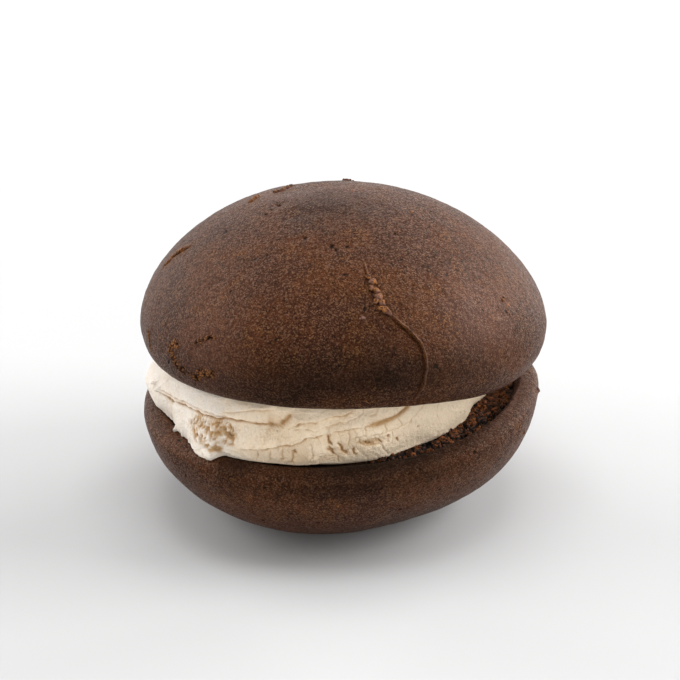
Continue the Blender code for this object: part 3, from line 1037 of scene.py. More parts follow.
@dataclass(frozen=True)
class Cake(ABC):
    """What both cakes share: a ball blown up to the cake's form, finer near its marks, with a baked skin."""

    name: str
    solid: Solid
    slot: Slot
    form: CakeForm
    cuts: tuple[int, ...]
    detail_cuts: int
    spot_reach: float
    relief_end: tuple[float, float]
    skin: Skin
    dents: tuple[Zone, ...]
    spots: tuple[Spot, ...]

    def sink_width(self, azimuth: Array) -> Array:
        """How far the smooth inner slope of the rim reaches in from its crest."""
        return np.zeros_like(azimuth)

    def spread(self, places: Array) -> tuple[Array, Array, Array]:
        """The smooth cake's points in the directions of these places, with azimuth and polar angle."""
        directions = places / np.linalg.norm(places, axis=1, keepdims=True)
        return self.form.surface(directions, self.sink_width(azimuth_of(directions)))

    def near_detail(self, points: Array) -> Array:
        """Whether each point lies near a spot."""
        away = [np.linalg.norm(points - s.centre(self.form), axis=1) - 2.0 * s.radius for s in self.spots]
        return np.min(away, axis=0) < self.spot_reach

    def features(self, points: Array) -> list[Marks]:
        """The marks of the cake's larger features."""
        return []

    @abstractmethod
    def settled(self, shaped: Array, azimuth: Array, polar: Array) -> Array:
        """The shaped cake as it lies in the pie, in metres."""

    @abstractmethod
    def shade(self, points: Array, azimuth: Array) -> Array:
        """How much painted shade darkens the crust."""

    @abstractmethod
    def sheen(self, points: Array, azimuth: Array) -> Array:
        """How much painted sheen lightens the crust."""

    def all_marks(self, points: Array, azimuth: Array, polar: Array) -> Marks:
        """Reads all that baking and handling did to the crust.

        Args:
            points: Points of the smooth cake.
            azimuth: Their azimuth.
            polar: Their angle from the crown.

        Returns:
            The marks of all features together.
        """
        none = np.zeros(len(points))
        relief = self.skin.relief(points, polar) + sum(dent.reach(points) for dent in self.dents)
        found = Marks(relief, none, none, none)
        for feature in self.features(points):
            found = found.added_to(feature)
        for spot in self.spots:
            found = found.added_to(spot.marks(points, self.form, self.skin.grain))
        # The painted sheen joins the pale marks as painted highlight.
        return Marks(found.rise, found.torn, found.pit_shade, np.maximum(found.pale_and_highlight, self.sheen(points, azimuth)))

    def uneven(self, points: Array, strength: Array) -> Array:
        """Painted shade, made blotchy with soft lumps."""
        return strength * (1.0 + 0.25 * self.skin.grain.layers(points + 60.0, 9.0, 3))

    def build(self, finish: bpy.types.Material) -> None:
        """Models and dresses the cake.

        Args:
            finish: The crust's material.
        """
        piece = add_ball(self.name, self.cuts)
        cut(piece, self.near_detail(self.spread(face_centres(piece))[0]), self.detail_cuts)
        points, azimuth, polar = self.spread(read_points(piece))
        outwards = points / np.linalg.norm(points, axis=1, keepdims=True)
        marks = self.all_marks(points, azimuth, polar)
        rise = marks.rise * (1.0 - smooth(polar, *self.relief_end))
        write_points(piece, self.settled(points + rise[:, None] * outwards, azimuth, polar))
        for name, values in zip(CRUST_SHADES, (*marks.shades(), self.shade(points, azimuth))):
            paint(piece, name, values)
        hand_over(piece, finish, self.solid)


@dataclass(frozen=True)
class TopCake(Cake):
    """The upper cake: a dome with its seam, its side crack and its patches of open pores."""

    name: str = "top_crust"
    solid: Solid = Solid.TOP
    slot: Slot = Slot.CRUST
    form: CakeForm = TOP_FORM
    cuts: tuple[int, ...] = (12, 7)
    detail_cuts: int = 4
    detail_reach: float = 1.2
    spot_reach: float = 0.0
    relief_end: tuple[float, float] = (TOP_FORM.rim_end, TOP_FORM.sink_end)
    skin: Skin = Skin(Grain(11))
    seam: Seam = Seam()
    dents: tuple[Zone, ...] = (
        Zone((-11.0, 5.0, 28.3), 8.0, -0.8),
        Zone((-9.0, -15.4, 27.2), 5.0, -0.25),
        Zone((-13.6, -7.4, 27.4), 1.6, -0.30),
        Zone((1.3, -26.0, 23.1), 1.4, -0.20),
    )
    tears: tuple[Tear | PorePatch, ...] = (
        Tear(SIDE_CRACK, 0.75, 1.5),
        Tear(((-99.4, 15.2), (-98.6, 15.6), (-97.6, 15.4)), 0.18, 0.2, 0.05, 0.5, 0.1),
        PorePatch(((-144.4, -0.6), (-142.9, 1.2), (-141.4, 1.9), (-140.4, 0.8)), 1.0),
        PorePatch(((-144.0, -0.6), (-142.1, -1.6), (-140.9, -2.9), (-139.2, -3.8), (-137.4, -3.0)), 1.15),
        PorePatch(((-135.7, -4.0), (-133.2, -4.3), (-130.0, -2.6), (-127.8, -2.4), (-126.0, -1.9)), 1.15),
        PorePatch(((-133.4, 3.2), (-130.0, 4.8), (-126.6, 5.6)), 0.6, torn=0.7),
        PorePatch(((-159.3, 1.4), (-158.4, -1.2), (-158.7, -3.4)), 0.5, torn=0.8),
        PorePatch(((178.0, 26.0), (170.0, 26.3), (162.0, 26.4)), 0.6, torn=0.7, grains=0.40, depth=0.05),
        PorePatch(((161.0, 27.5), (147.0, 27.7), (134.0, 27.6)), 0.7, torn=0.3, grains=0.50, depth=0.05),
        PorePatch(((-33.4, 10.3), (-31.2, 10.8)), 0.5, torn=0.6),
    )
    spots: tuple[Spot, ...] = (
        Spot(-84.1, 11.3, 0.17, 0.6, pale_and_highlight=0.9, pit_shade=0.0), Spot(-83.0, 11.5, 0.12, 0.6, pale_and_highlight=0.9, pit_shade=0.0),
        Spot(-87.2, 23.2, 0.40), Spot(-94.1, 23.2, 0.50), Spot(-92.2, 22.7, 0.30), Spot(-151.6, 27.6, 0.55),
        Spot(-146.0, 26.3, 0.40), Spot(-148.2, 26.9, 0.30), Spot(-108.1, 24.2, 0.40),
        Spot(-32.0, 26.9, 0.45, 0.3, torn=0.9, pit_shade=0.0), Spot(-17.9, 29.1, 0.35, 0.3, torn=0.8, pit_shade=0.0),
        Spot(-60.5, 24.6, 0.35), Spot(-121.0, 21.0, 0.30), Spot(-33.6, 8.3, 0.35),
        Spot(-31.0, 9.4, 0.30, 0.3, torn=0.8, pit_shade=0.0),
    )
    # Painted shade of the crust: its strength, where it centres in front, the lower lip that it spares, and its
    # zones.
    shade_strength: float = 0.78
    shade_at: float = -80.0
    shade_turn: float = -11.0
    shade_span: float = 41.0
    lip: Turn = Turn(-79.0, 26.0)
    painted_shade_zones: tuple[Zone, ...] = (
        Zone((-2.5, -11.0, 27.8), 11.0, 0.42),
        Zone((7.5, -41.0, 11.0), 8.0, 0.35),
        Zone((-13.0, -41.5, 1.0), 8.0, 0.14),
    )
    # Zones of painted sheen, lightening the crust as painted highlights do.
    painted_sheen_zones: tuple[Zone, ...] = (
        Zone((29.6, -31.0, 9.0), 8.5, 0.17),
        Zone((-28.0, -34.0, 4.0), 9.5, 0.12),
        Zone((-37.5, -20.0, 8.0), 7.0, 0.03),
    )
    droop: Turn = Turn(-38.0, 20.0, 1.0)

    def settled(self, shaped: Array, azimuth: Array, polar: Array) -> Array:
        """Lets the rim droop to the right of the seam and lays the cake on the cream."""
        across = smooth(np.hypot(shaped[:, 0], shaped[:, 1]), 37.0, 40.0)
        below = 1.0 - smooth(shaped[:, 2], -self.form.rim_height / 2.0, 3.0)
        shaped[:, 2] -= self.droop.reach(azimuth) * across * below
        return placed(shaped, TOP_PLACEMENT)

    def features(self, points: Array) -> list[Marks]:
        """The marks of the seam, the cracks and the patches."""
        grain = self.skin.grain
        tears = [tear.marks(points, self.form.side_path(tear.knots), grain) for tear in self.tears]
        return [self.seam.marks(points, grain), *tears]

    def sheen(self, points: Array, azimuth: Array) -> Array:
        """How much painted sheen lightens the crust, in its zones."""
        return sum(zone.reach(points) for zone in self.painted_sheen_zones)

    def shade(self, points: Array, azimuth: Array) -> Array:
        """How much painted shade darkens the crust: low in front, in zones round the crown and below the seam, less
        at the lower lip.
        """
        middle = self.shade_at + self.shade_turn * smooth(-points[:, 2], -2.0, 6.0)
        front = smooth(12.0 - points[:, 2], 0.0, 15.0) * bell(turned(azimuth, middle), self.shade_span)
        lip = self.lip.reach(azimuth) * (1.0 - smooth(points[:, 2], -8.5, -1.5))
        front *= 1.0 - 0.9 * lip
        zones = sum(zone.reach(points) for zone in self.painted_shade_zones)
        return np.clip(self.shade_strength * self.uneven(points, front) + zones, 0.0, 0.9)

    def near_detail(self, points: Array) -> Array:
        """Whether each point lies near a spot, the seam or a tear."""
        near = super().near_detail(points)
        for feature in (self.seam, *self.tears):
            near |= nearest_on(points, self.form.side_path(feature.knots))[0] < self.detail_reach
        return near


@dataclass(frozen=True)
class BottomCake(Cake):
    """The lower cake, dome down: its crust, its rim and the sunk flat side that the crumb lies on."""

    name: str = "bottom_crust"
    solid: Solid = Solid.BOTTOM
    slot: Slot = Slot.CAKE
    form: CakeForm = BOTTOM_FORM
    cuts: tuple[int, ...] = (15, 6)
    detail_cuts: int = 3
    spot_reach: float = 0.3
    relief_end: tuple[float, float] = (BOTTOM_FORM.sink_end, BOTTOM_FORM.sink_end + 6.0)
    skin: Skin = Skin(Grain(23), pimple=0.05)
    dents: tuple[Zone, ...] = (Zone((15.0, -30.0, -17.5), 11.0, -0.8),)
    rise: Turn = Turn(5.0, 40.0, 2.6)
    bed_depth: float = 1.9
    spots: tuple[Spot, ...] = (
        Spot(-145.1, 2.4, 0.45), Spot(-138.9, -3.6, 0.35), Spot(-114.9, -11.5, 0.40), Spot(-65.5, 1.2, 0.40),
        Spot(-46.4, 0.7, 0.40), Spot(-82.4, -1.2, 0.22), Spot(-80.7, -1.4, 0.26), Spot(-79.2, -1.2, 0.22),
        Spot(-77.6, -1.3, 0.28), Spot(-76.1, -1.1, 0.22), Spot(-74.6, -1.2, 0.24),
        Spot(-90.2, -5.0, 0.35, 0.3, torn=0.8, pit_shade=0.0), Spot(-104.0, -7.5, 0.35), Spot(-58.0, -5.5, 0.32),
        Spot(-122.0, -4.5, 0.32), Spot(-96.5, -10.5, 0.30), Spot(-70.5, -9.0, 0.34),
        Spot(-4.0, -0.4, 0.50, 0.8, pit_shade=0.2), Spot(-5.5, 0.7, 0.45, 0.8, pit_shade=0.2),
        Spot(-20.0, -3.9, 0.50, 0.9, pit_shade=0.0),
    )
    # Painted sheen along the rim's crest on the right, then the painted shade in front and the painted shadow of the
    # cream's lobe.
    painted_sheen: Turn = Turn(-16.0, 18.0, 0.22)
    painted_sheen_radius: float = 40.6
    shade_strength: float = 0.68
    shaded: Turn = Turn(-77.0, 42.0)
    lobe_shadow: Zone = Zone((-21.5, -35.5, 2.5), 6.0, 0.75)
    crumb_reach: Knots = (
        (-180.0, 37.5), (-120.0, 36.5), (-90.0, 35.0), (-66.0, 35.8), (-55.0, 36.8), (-40.0, 37.6),
        (-28.0, 38.3), (-17.0, 39.2), (-5.0, 39.6), (40.0, 38.8), (90.0, 37.5),
    )

    def sink_width(self, azimuth: Array) -> Array:
        """How far the smooth inner slope of the rim reaches in from its crest."""
        crest = self.form.radius - self.form.rim_width
        return crest - eased_knots(azimuth, self.crumb_reach) / self.form.lobed(azimuth)

    def rim_rise(self, radius: Array, azimuth: Array) -> Array:
        """How much higher the rim stands on the right."""
        return self.rise.reach(azimuth) * smooth(radius, 34.0, 40.0)

    def flat_level(self, radius: Array, azimuth: Array) -> Array:
        """The height of the sunk flat side above the widest ring."""
        return self.form.rim_height - self.form.sink_depth + self.rim_rise(radius, azimuth)

    def settled(self, shaped: Array, azimuth: Array, polar: Array) -> Array:
        """Lifts the rim on the right, sinks the flat side below the crumb and stands the cake on its foot."""
        lifted = smooth(shaped[:, 2], -14.0, 0.0)
        shaped[:, 2] += lifted * self.rim_rise(np.hypot(shaped[:, 0], shaped[:, 1]), azimuth)
        shaped[:, 2] -= self.bed_depth * smooth(polar, self.form.sink_end, self.form.sink_end + 1.6)
        world = placed(shaped, BOTTOM_PLACEMENT)
        world[:, 2] = np.maximum(world[:, 2], 0.0)
        return world

    def shade(self, points: Array, azimuth: Array) -> Array:
        """How much painted shade darkens the crust: at the rim in front, on its inner slope and as the painted
        shadow of the cream's lobe.
        """
        front = (0.2 + 0.8 * smooth(points[:, 2], -6.0, 0.5)) * self.shaded.reach(azimuth)
        front = self.uneven(points, front) * (0.95 + 0.55 * smooth(points[:, 2], 1.0, 3.5))
        inside = 1.0 - smooth(np.hypot(points[:, 0], points[:, 1]), 38.0, 40.0)
        inside *= smooth(points[:, 2], 0.0, 0.6)
        shades = (self.shade_strength * front, self.lobe_shadow.reach(points), 0.9 * inside)
        return np.clip(np.max(shades, axis=0), 0.0, 0.9)

    def sheen(self, points: Array, azimuth: Array) -> Array:
        """The painted sheen along the crest of the rim on the right."""
        crest = bell(np.hypot(points[:, 0], points[:, 1]) - self.painted_sheen_radius, 1.3) * smooth(points[:, 2], -1.0, 1.0)
        uneven = 1.0 + 0.9 * self.skin.grain.layers(points + 80.0, 2.6, 3)
        crest *= self.painted_sheen.reach(azimuth)
        return crest * np.clip(uneven, 0.0, 2.0)


@dataclass(frozen=True)
class CrumbBed:
    """The open crumb on the lower cake's flat side, where its crust came away."""

    cake: BottomCake = BottomCake()
    grain: Grain = Grain(37)
    segments: int = 1200
    rings: int = 74
    crowding: float = 0.55
    crowded_at: float = -35.0
    inner: float = 27.5
    under: float = 1.2
    overlap: float = 0.7
    clump_size: float = 2.1
    crumb_size: float = 0.85
    furrows: tuple[Knots, ...] = (
        ((-75.0, 33.9), (-55.0, 34.2), (-42.0, 34.8), (-30.0, 35.6), (-18.0, 36.6)),
        ((-30.0, 34.2), (-18.0, 34.6), (-6.0, 35.6), (8.0, 36.2)),
    )

    def height(self, flat: Array, radius: Array, azimuth: Array) -> tuple[Array, Array]:
        """Reads the crumb's height over the sunk flat side, and the painted shade of its air holes.

        Args:
            flat: Points of the flat side, with height 0.
            radius: Their distance from the cake's axis.
            azimuth: Their azimuth.

        Returns:
            The height above the flat side, and the painted shade in holes and low places, from 0 to 1.
        """
        wobble = np.stack([self.grain.lumps(flat + 25.0 * axis, 1.3) for axis in range(3)], axis=1)
        bent = flat + 0.35 * wobble
        first, second, owner = self.grain.pebbles(bent, self.clump_size)
        small, small_next, small_owner = self.grain.pebbles(bent + 50.0, self.crumb_size)
        clump = (0.75 - first) * 0.9 + 0.7 * (owner - 0.5)
        crumb = (0.7 - small) * 0.55 + 0.3 * (small_owner - 0.5)
        hole = smooth(0.16 - (second - first), 0.0, 0.14) * smooth(owner, 0.2, 0.5)
        hole = np.maximum(hole, smooth(small_owner, 0.80, 0.86) * smooth(0.55 - small, 0.0, 0.2))
        for furrow in self.furrows:
            start, end = furrow[0][0], furrow[-1][0]
            middle = eased_knots(azimuth, furrow)
            shown = smooth(azimuth, start, start + 8.0) * (1.0 - smooth(azimuth, end - 8.0, end))
            wander = 0.5 * self.grain.lumps(flat, 5.0)
            hole = np.maximum(hole, shown * bell(radius - middle - wander, 0.32))
        edge = smooth(small_next - small, 0.05, 0.3)
        height = 0.55 * clump + 0.6 * crumb * edge - 0.9 * hole
        # Painted shade: dark in holes and where the crumb lies low.
        hole_shade = np.clip(0.9 * hole + smooth(-height, -0.20, 0.30), 0.0, 1.0)
        return height, hole_shade

    def edge_fade(self, radius: Array, azimuth: Array) -> Array:
        """How much of the relief is left towards the rim's inner slope."""
        reach = eased_knots(azimuth, self.cake.crumb_reach)
        return 1.0 - smooth(radius, reach - 0.6, reach + 0.5)

    def point_at(self, radius: Array, azimuth: Array) -> tuple[Array, Array]:
        """The crumb's surface at places of the flat side.

        Args:
            radius: Distances from the cake's axis.
            azimuth: Azimuths.

        Returns:
            The points in the cake's frame, and the painted shade at each.
        """
        flat = on_ring(radius, azimuth)
        height, hole_shade = self.height(flat, radius, azimuth)
        fade = self.edge_fade(radius, azimuth)
        flat[:, 2] = self.cake.flat_level(radius, azimuth) + fade * height - 0.5 * (1.0 - fade)
        return flat, hole_shade * fade

    def build(self, finish: bpy.types.Material) -> None:
        """Models and dresses the crumb.

        Args:
            finish: The crumb's material.
        """
        piece = add_drum("open_crumb", self.segments, self.rings)
        unit = read_points(piece)
        ring = np.rint((unit[:, 2] + 1.0) / 2.0 * (self.rings - 1))
        azimuth = (crowded(unit, self.crowding, self.crowded_at) + 180.0) % 360.0 - 180.0
        outer = eased_knots(azimuth, self.cake.crumb_reach) + self.overlap
        across = np.clip((ring - 1.0) / (self.rings - 2.0), 0.0, 1.0)
        radius = np.where(ring < 0.5, self.inner, outer + (self.inner - outer) * across)
        points, hole_shade = self.point_at(radius, azimuth)
        below = self.cake.flat_level(radius, azimuth) - self.under
        points[:, 2] = np.where(ring < 1.5, below, points[:, 2])
        write_points(piece, placed(points, BOTTOM_PLACEMENT))
        paint(piece, "hole_shade", hole_shade)
        hand_over(piece, finish, Solid.BOTTOM)


# Cream


@dataclass(frozen=True)
class Stroke:
    """What one kind of mark does to the cream's side."""

    width: float
    depth: float
    # Tan stain and painted shade of the mark; below zero on ridges and knobs, a painted highlight.
    stain_and_shade: float
    wobble: float
    ledge: float = 0.0
    fall: float = 1.0


class Mark(Enum):
    """The kinds of marks in the cream: knife strokes, layer edges, dried cracks, pits and lumps."""

    LEDGE = Stroke(width=0.30, depth=0.90, stain_and_shade=0.42, wobble=0.30, ledge=0.95, fall=3.0)
    STEP = Stroke(width=0.20, depth=0.42, stain_and_shade=0.22, wobble=0.25, ledge=0.45, fall=1.6)
    GROOVE = Stroke(width=0.58, depth=1.00, stain_and_shade=0.52, wobble=0.12, ledge=0.40, fall=2.5)
    FOLD = Stroke(width=0.45, depth=0.8, stain_and_shade=0.30, wobble=0.15)
    HOLLOW = Stroke(width=1.9, depth=1.4, stain_and_shade=0.16, wobble=0.30)
    EDGE = Stroke(width=0.22, depth=0.40, stain_and_shade=0.30, wobble=0.50, ledge=0.90, fall=2.0)
    CRACK = Stroke(width=0.12, depth=0.28, stain_and_shade=0.20, wobble=0.45, ledge=0.06)
    PIT = Stroke(width=0.24, depth=0.90, stain_and_shade=0.46, wobble=0.55)
    HOLE = Stroke(width=0.40, depth=1.10, stain_and_shade=0.55, wobble=0.55)
    RIDGE = Stroke(width=0.34, depth=-0.45, stain_and_shade=-0.08, wobble=0.30)
    KNOB = Stroke(width=1.05, depth=-1.5, stain_and_shade=-0.1, wobble=0.15)


@dataclass(frozen=True)
class Area:
    """A soft-edged area of the cream's side."""

    azimuth: float
    span: float
    height: float
    rise: float

    def reach(self, azimuth: Array, height: Array) -> Array:
        """How strongly the area shows at each place."""
        return bell(turned(azimuth, self.azimuth), self.span) * bell(height - self.height, self.rise)


@dataclass(frozen=True)
class Cream:
    """The cream between the cakes, spread with a knife and dried a little.

    Marks are pairs of azimuth and height above the lower cake's widest ring.
    """

    grain: Grain = Grain(53)
    segments: int = 1120
    wall_rings: int = 76
    crowding: float = 0.45
    crowded_at: float = -100.0
    reach: Knots = (
        (-185, 41.8), (-173, 40.6), (-157, 39.2), (-145, 40.5), (-133, 43.2), (-129.5, 43.2), (-126.5, 40.3),
        (-105, 38.8), (-82, 35.0), (-57, 32.2), (-31, 32.0), (-18, 30.9), (-3, 33.2), (50, 33.5), (100, 35.5),
        (150, 39.5),
    )
    top_radius: float = 38.3
    lean: float = 0.8
    bulge: float = 0.9
    bulge_power: float = 0.8
    side_bulge: float = 2.7
    side_bulge_at: Turn = Turn(178.0, 24.0)
    lump: float = 0.45
    lump_size: float = 7.0
    edge_share: float = 0.08
    ragged_share: float = 0.15
    under_radii: tuple[float, ...] = (34.6, 37.0, 39.9, 41.7)
    under_step: float = 0.4
    press: float = 0.12
    arc_radius: float = 38.0
    torn_patch: Area = Area(-131.5, 10.5, 7.8, 3.8)
    pore_area: Area = Area(-116.0, 13.0, 9.4, 2.2)
    crumbly_area: Area = Area(-78.0, 9.0, 6.6, 1.6)
    tan_foot: Area = Area(-102.0, 15.0, 4.4, 2.4)
    flake_radius: float = 40.0
    flakes: float = 0.10
    flakes_left: Turn = Turn(-145.0, 22.0, 0.14)
    flakes_right: Turn = Turn(-20.0, 9.0, 0.25)
    spike_width: float = 0.30
    lobe: Turn = Turn(-132.0, 13.0)
    far_lobe: Turn = Turn(-162.0, 14.0, 0.5)
    crackle_front: Turn = Turn(-90.0, 26.0)
    crackle_left: Turn = Turn(-160.0, 16.0, 0.8)
    spikes: Knots = ((-150.6, 1.6), (-146.2, 0.8), (-141.5, 0.4))
    marks: tuple[tuple[Mark, tuple[Knots, ...]], ...] = (
        (Mark.LEDGE, (
            ((-163, 8.5), (-158, 9.0), (-152, 9.5), (-145, 10.3), (-136, 10.9), (-128, 11.2), (-117, 11.9),
             (-108, 11.5)),
        )),
        (Mark.STEP, (
            ((-160, 9.9), (-153, 10.5), (-145, 11.2), (-136, 11.8), (-128, 12.0), (-121, 11.9)),
            ((-128.5, 12.6), (-122, 13.6), (-117, 14.6), (-111, 15.2)),
            ((-129.5, 5.6), (-127.6, 3.6), (-128.6, 2.0), (-131.0, 1.6)),
        )),
        (Mark.FOLD, (((-108.5, 11.9), (-106.4, 13.2), (-104.6, 14.9)),)),
        (Mark.HOLLOW, (((-112.5, 12.4), (-109.5, 12.2), (-107.0, 12.9)),)),
        (Mark.GROOVE, (((-59, 15.0), (-62, 13.2), (-65, 12.0), (-69, 11.3), (-73, 11.0), (-80, 10.7)),)),
        (Mark.EDGE, (
            ((-79, 10.7), (-87, 10.3), (-94, 10.3)),
            ((-94, 10.1), (-98.6, 9.9), (-102, 8.7), (-107, 7.3), (-115, 5.8), (-121, 5.4)),
            ((-104, 12.4), (-101, 13.2), (-98, 13.1), (-93, 13.9), (-87, 14.0), (-83, 14.8)),
        )),
        (Mark.PIT, (
            ((-93.6, 9.8), (-93.1, 8.6), (-92.2, 7.4)), ((-93.3, 7.0), (-92.2, 5.8), (-91.4, 4.7)),
            ((-89.6, 7.2), (-88.4, 5.6), (-87.4, 4.5)), ((-84.9, 5.4), (-83.6, 3.6)),
            ((-75.7, 6.9), (-74.6, 5.8)), ((-68.7, 5.7), (-67.7, 4.9)), ((-104.2, 6.9), (-103.0, 5.9)),
            ((-58.9, 6.6), (-58.2, 6.3)), ((-80.9, 6.9), (-79.6, 6.2), (-78.2, 6.6)),
            ((-72.8, 7.3), (-71.6, 6.8)), ((-125.4, 8.3), (-124.4, 7.2)),
        )),
        (Mark.CRACK, (
            ((-62.5, 8.9), (-67.3, 8.1), (-73.5, 8.1), (-80.5, 8.3), (-86, 7.8)), ((-80.8, 10.5), (-80.5, 8.3)),
            ((-73.6, 10.4), (-73.1, 8.2)), ((-68.2, 10.4), (-66.4, 8.2)),
            ((-86.5, 9.9), (-86.0, 7.9), (-86.8, 6.2)),
            ((-82.8, 8.2), (-82.2, 6.6), (-80.4, 5.6), (-77.0, 5.9), (-74.4, 5.0)),
            ((-77.6, 8.1), (-76.9, 6.2)), ((-71.0, 7.9), (-70.2, 6.0), (-71.4, 4.6)),
            ((-115.5, 5.3), (-116.0, 1.5)), ((-111.3, 6.0), (-112.0, 2.5)), ((-107.3, 6.9), (-107.5, 3.4)),
            ((-103.8, 6.6), (-104.5, 4.2), (-106.8, 3.2)), ((-104.5, 4.2), (-102.6, 2.2)),
            ((-98.6, 8.2), (-97.8, 5.6), (-98.4, 3.4)), ((-90.0, 4.2), (-90.0, 2.2)),
            ((-74.8, 5.4), (-73.5, 3.8), (-71.6, 2.1)),
            ((-97.0, 11.8), (-91.0, 12.2), (-86.0, 12.6), (-82.0, 13.6), (-81.4, 15.4)),
            ((-104.0, 11.4), (-99.0, 11.6), (-95.0, 11.4)), ((-76.0, 15.2), (-76.6, 13.6), (-79.5, 12.6)),
            ((-55.5, 12.4), (-58.0, 10.6), (-62.0, 9.2), (-64.0, 7.0)),
            ((-49.0, 10.9), (-51.0, 9.0), (-50.4, 7.2)),
        )),
        (Mark.HOLE, (((-157.6, 8.7), (-153.6, 9.0)),)),
        (Mark.RIDGE, (((-133.0, 4.0), (-129.0, 2.8), (-125.0, 2.4)),)),
        (Mark.KNOB, (((-167.4, 9.6), (-166.6, 9.2)), ((-162.2, 9.6), (-161.4, 9.3)))),
    )

    def ragged_edge(self, azimuth: Array) -> Array:
        """How far the flakes of the cream's lower edge stand out."""
        ring = on_ring(self.flake_radius, azimuth)
        strength = self.flakes + self.flakes_left.reach(azimuth) + self.flakes_right.reach(azimuth)
        ragged = strength * self.grain.layers(ring, 1.0, 3)
        for place, length in self.spikes:
            ragged = ragged + length * cusp(turned(azimuth, place), self.spike_width)
        return ragged

    def under_height(self, radius: Array, azimuth: Array) -> Array:
        """The height of what the cream lies on, above the lower cake's widest ring."""
        form = BOTTOM_FORM
        crest = (form.radius - form.rim_width) * form.lobed(azimuth)
        flat_end = crest - form.sink_width
        sunk = 1.0 - smooth(radius - flat_end, -2.5, 0.0)
        inside = form.rim_height - form.sink_depth * sunk
        share = np.clip((radius - crest) / form.rim_width, 0.0, 1.0)
        return np.where(radius <= crest, inside, form.rim_height * np.sqrt(1.0 - share * share))

    def relief(self, azimuth: Array, height: Array) -> tuple[Array, Array]:
        """Reads the marks on the cream's side.

        Args:
            azimuth: Azimuths.
            height: Heights above the lower cake's widest ring.

        Returns:
            How far the side goes out, and its tan stain and painted shade.
        """
        arc = np.radians(turned(azimuth, self.crowded_at)) * self.arc_radius
        wall = np.stack([arc, height], axis=1)
        deep = np.column_stack([wall, np.zeros(len(wall))])
        wobble = np.stack([self.grain.layers(deep + 20.0 * axis, 1.6, 2) for axis in range(2)], axis=1)
        rise = np.zeros(len(wall))
        stain_and_shade = np.zeros(len(wall))
        for mark, lines in self.marks:
            stroke = mark.value
            for knots in lines:
                turns = [np.radians(turned(knot[0], self.crowded_at)) * self.arc_radius for knot in knots]
                path = curve_through(np.column_stack([turns, [knot[1] for knot in knots]]), 5)
                distance, along, offset = nearest_on(wall + stroke.wobble * wobble, path)
                ends = 0.3 + 0.7 * smooth(along, 0.0, 0.12) * (1.0 - smooth(along, 0.88, 1.0))
                ledge = stroke.ledge * smooth(offset[:, 1], 0.0, stroke.width) * bell(distance, stroke.fall)
                rise += ends * (ledge - stroke.depth * cusp(distance, stroke.width))
                stain_and_shade += stroke.stain_and_shade * ends * bell(distance, 1.3 * stroke.width)
        sponge_rise, sponge_stain = self.sponge(azimuth, height, deep)
        crackle_rise, crackle_stain = self.crackle(azimuth, height, deep)
        lobe = self.lobe.reach(azimuth) * (1.0 - smooth(height, 4.0, 8.0)) + self.far_lobe.reach(azimuth)
        fine = (0.11 + 0.22 * lobe) * self.grain.layers(deep, 2.2, 3)
        fine += 0.08 * self.grain.layers(deep + 15.0, 0.7, 2)
        return rise + sponge_rise + crackle_rise + fine, np.clip(stain_and_shade + sponge_stain + crackle_stain, 0.0, 1.0)

    def sponge(self, azimuth: Array, height: Array, deep: Array) -> tuple[Array, Array]:
        """The torn porous patch on the left, and the fine pores below the upper stroke.

        Args:
            azimuth: Azimuths.
            height: Heights above the lower cake's widest ring.
            deep: The same places as points, in millimetres.

        Returns:
            How far the side goes out, and how tan it is stained.
        """
        patch = self.torn_patch.reach(azimuth, height)
        ragged = patch + 0.20 * self.grain.layers(deep + 33.0, 2.4, 3)
        shown = smooth(ragged, 0.28, 0.62)
        stretched = wobbled(self.grain, deep, 0.6, 0.30) * np.array([1.0, 0.60, 1.0])
        coarse = self.grain.layers(stretched + 12.0, 0.80, 3)
        first, _, owner = self.grain.pebbles(stretched, 0.62)
        holes = smooth(0.50 - first, 0.0, 0.30) * smooth(owner, 0.62, 0.72)
        pits = np.maximum(smooth(-coarse, 0.10, 0.42), 0.8 * holes)
        broad = self.grain.layers(deep + 51.0, 2.6, 3)
        rise = shown * (0.34 * coarse - 0.42 * pits + 0.30 * broad)
        stain_and_shade = shown * (0.27 + 0.28 * pits - 0.18 * smooth(coarse, 0.0, 0.40) - 0.30 * broad)
        fine = smooth(self.pore_area.reach(azimuth, height), 0.25, 0.8)
        small, small_next, _ = self.grain.pebbles(deep + 70.0, 0.65)
        pores = smooth(0.2 - (small_next - small), 0.0, 0.2)
        return rise - 0.18 * fine * pores, stain_and_shade + 0.10 * fine * pores

    def crackle(self, azimuth: Array, height: Array, deep: Array) -> tuple[Array, Array]:
        """The fine net of drying cracks and tan flats in the middle of the front.

        Args:
            azimuth: Azimuths.
            height: Heights above the lower cake's widest ring.
            deep: The same places as points, in millimetres.

        Returns:
            How far the side goes out, and how tan it is stained.
        """
        middle = np.maximum(self.crackle_front.reach(azimuth), self.crackle_left.reach(azimuth))
        bent = wobbled(self.grain, deep, 2.4, 0.5)
        first, second, owner = self.grain.pebbles(bent + 110.0, 2.7)
        line = bell(second - first, 0.030) * smooth(owner, 0.25, 0.55)
        plates = smooth(self.grain.layers(deep + 140.0, 5.0, 4), -0.05, 0.25)
        band = smooth(height, 2.0, 4.0) * (1.0 - smooth(height, 12.5, 14.5))
        pitted = self.crumbly_area.reach(azimuth, height)
        crumbly = smooth(pitted + 0.35 * self.grain.layers(deep + 90.0, 1.1, 3), 0.55, 0.95)
        foot = self.tan_foot.reach(azimuth, height)
        rise = middle * (0.14 * plates - 0.14 * line * band) - 0.30 * crumbly
        return rise, middle * (0.13 * (1.0 - plates) + 0.16 * line * band) + 0.20 * crumbly + 0.12 * foot

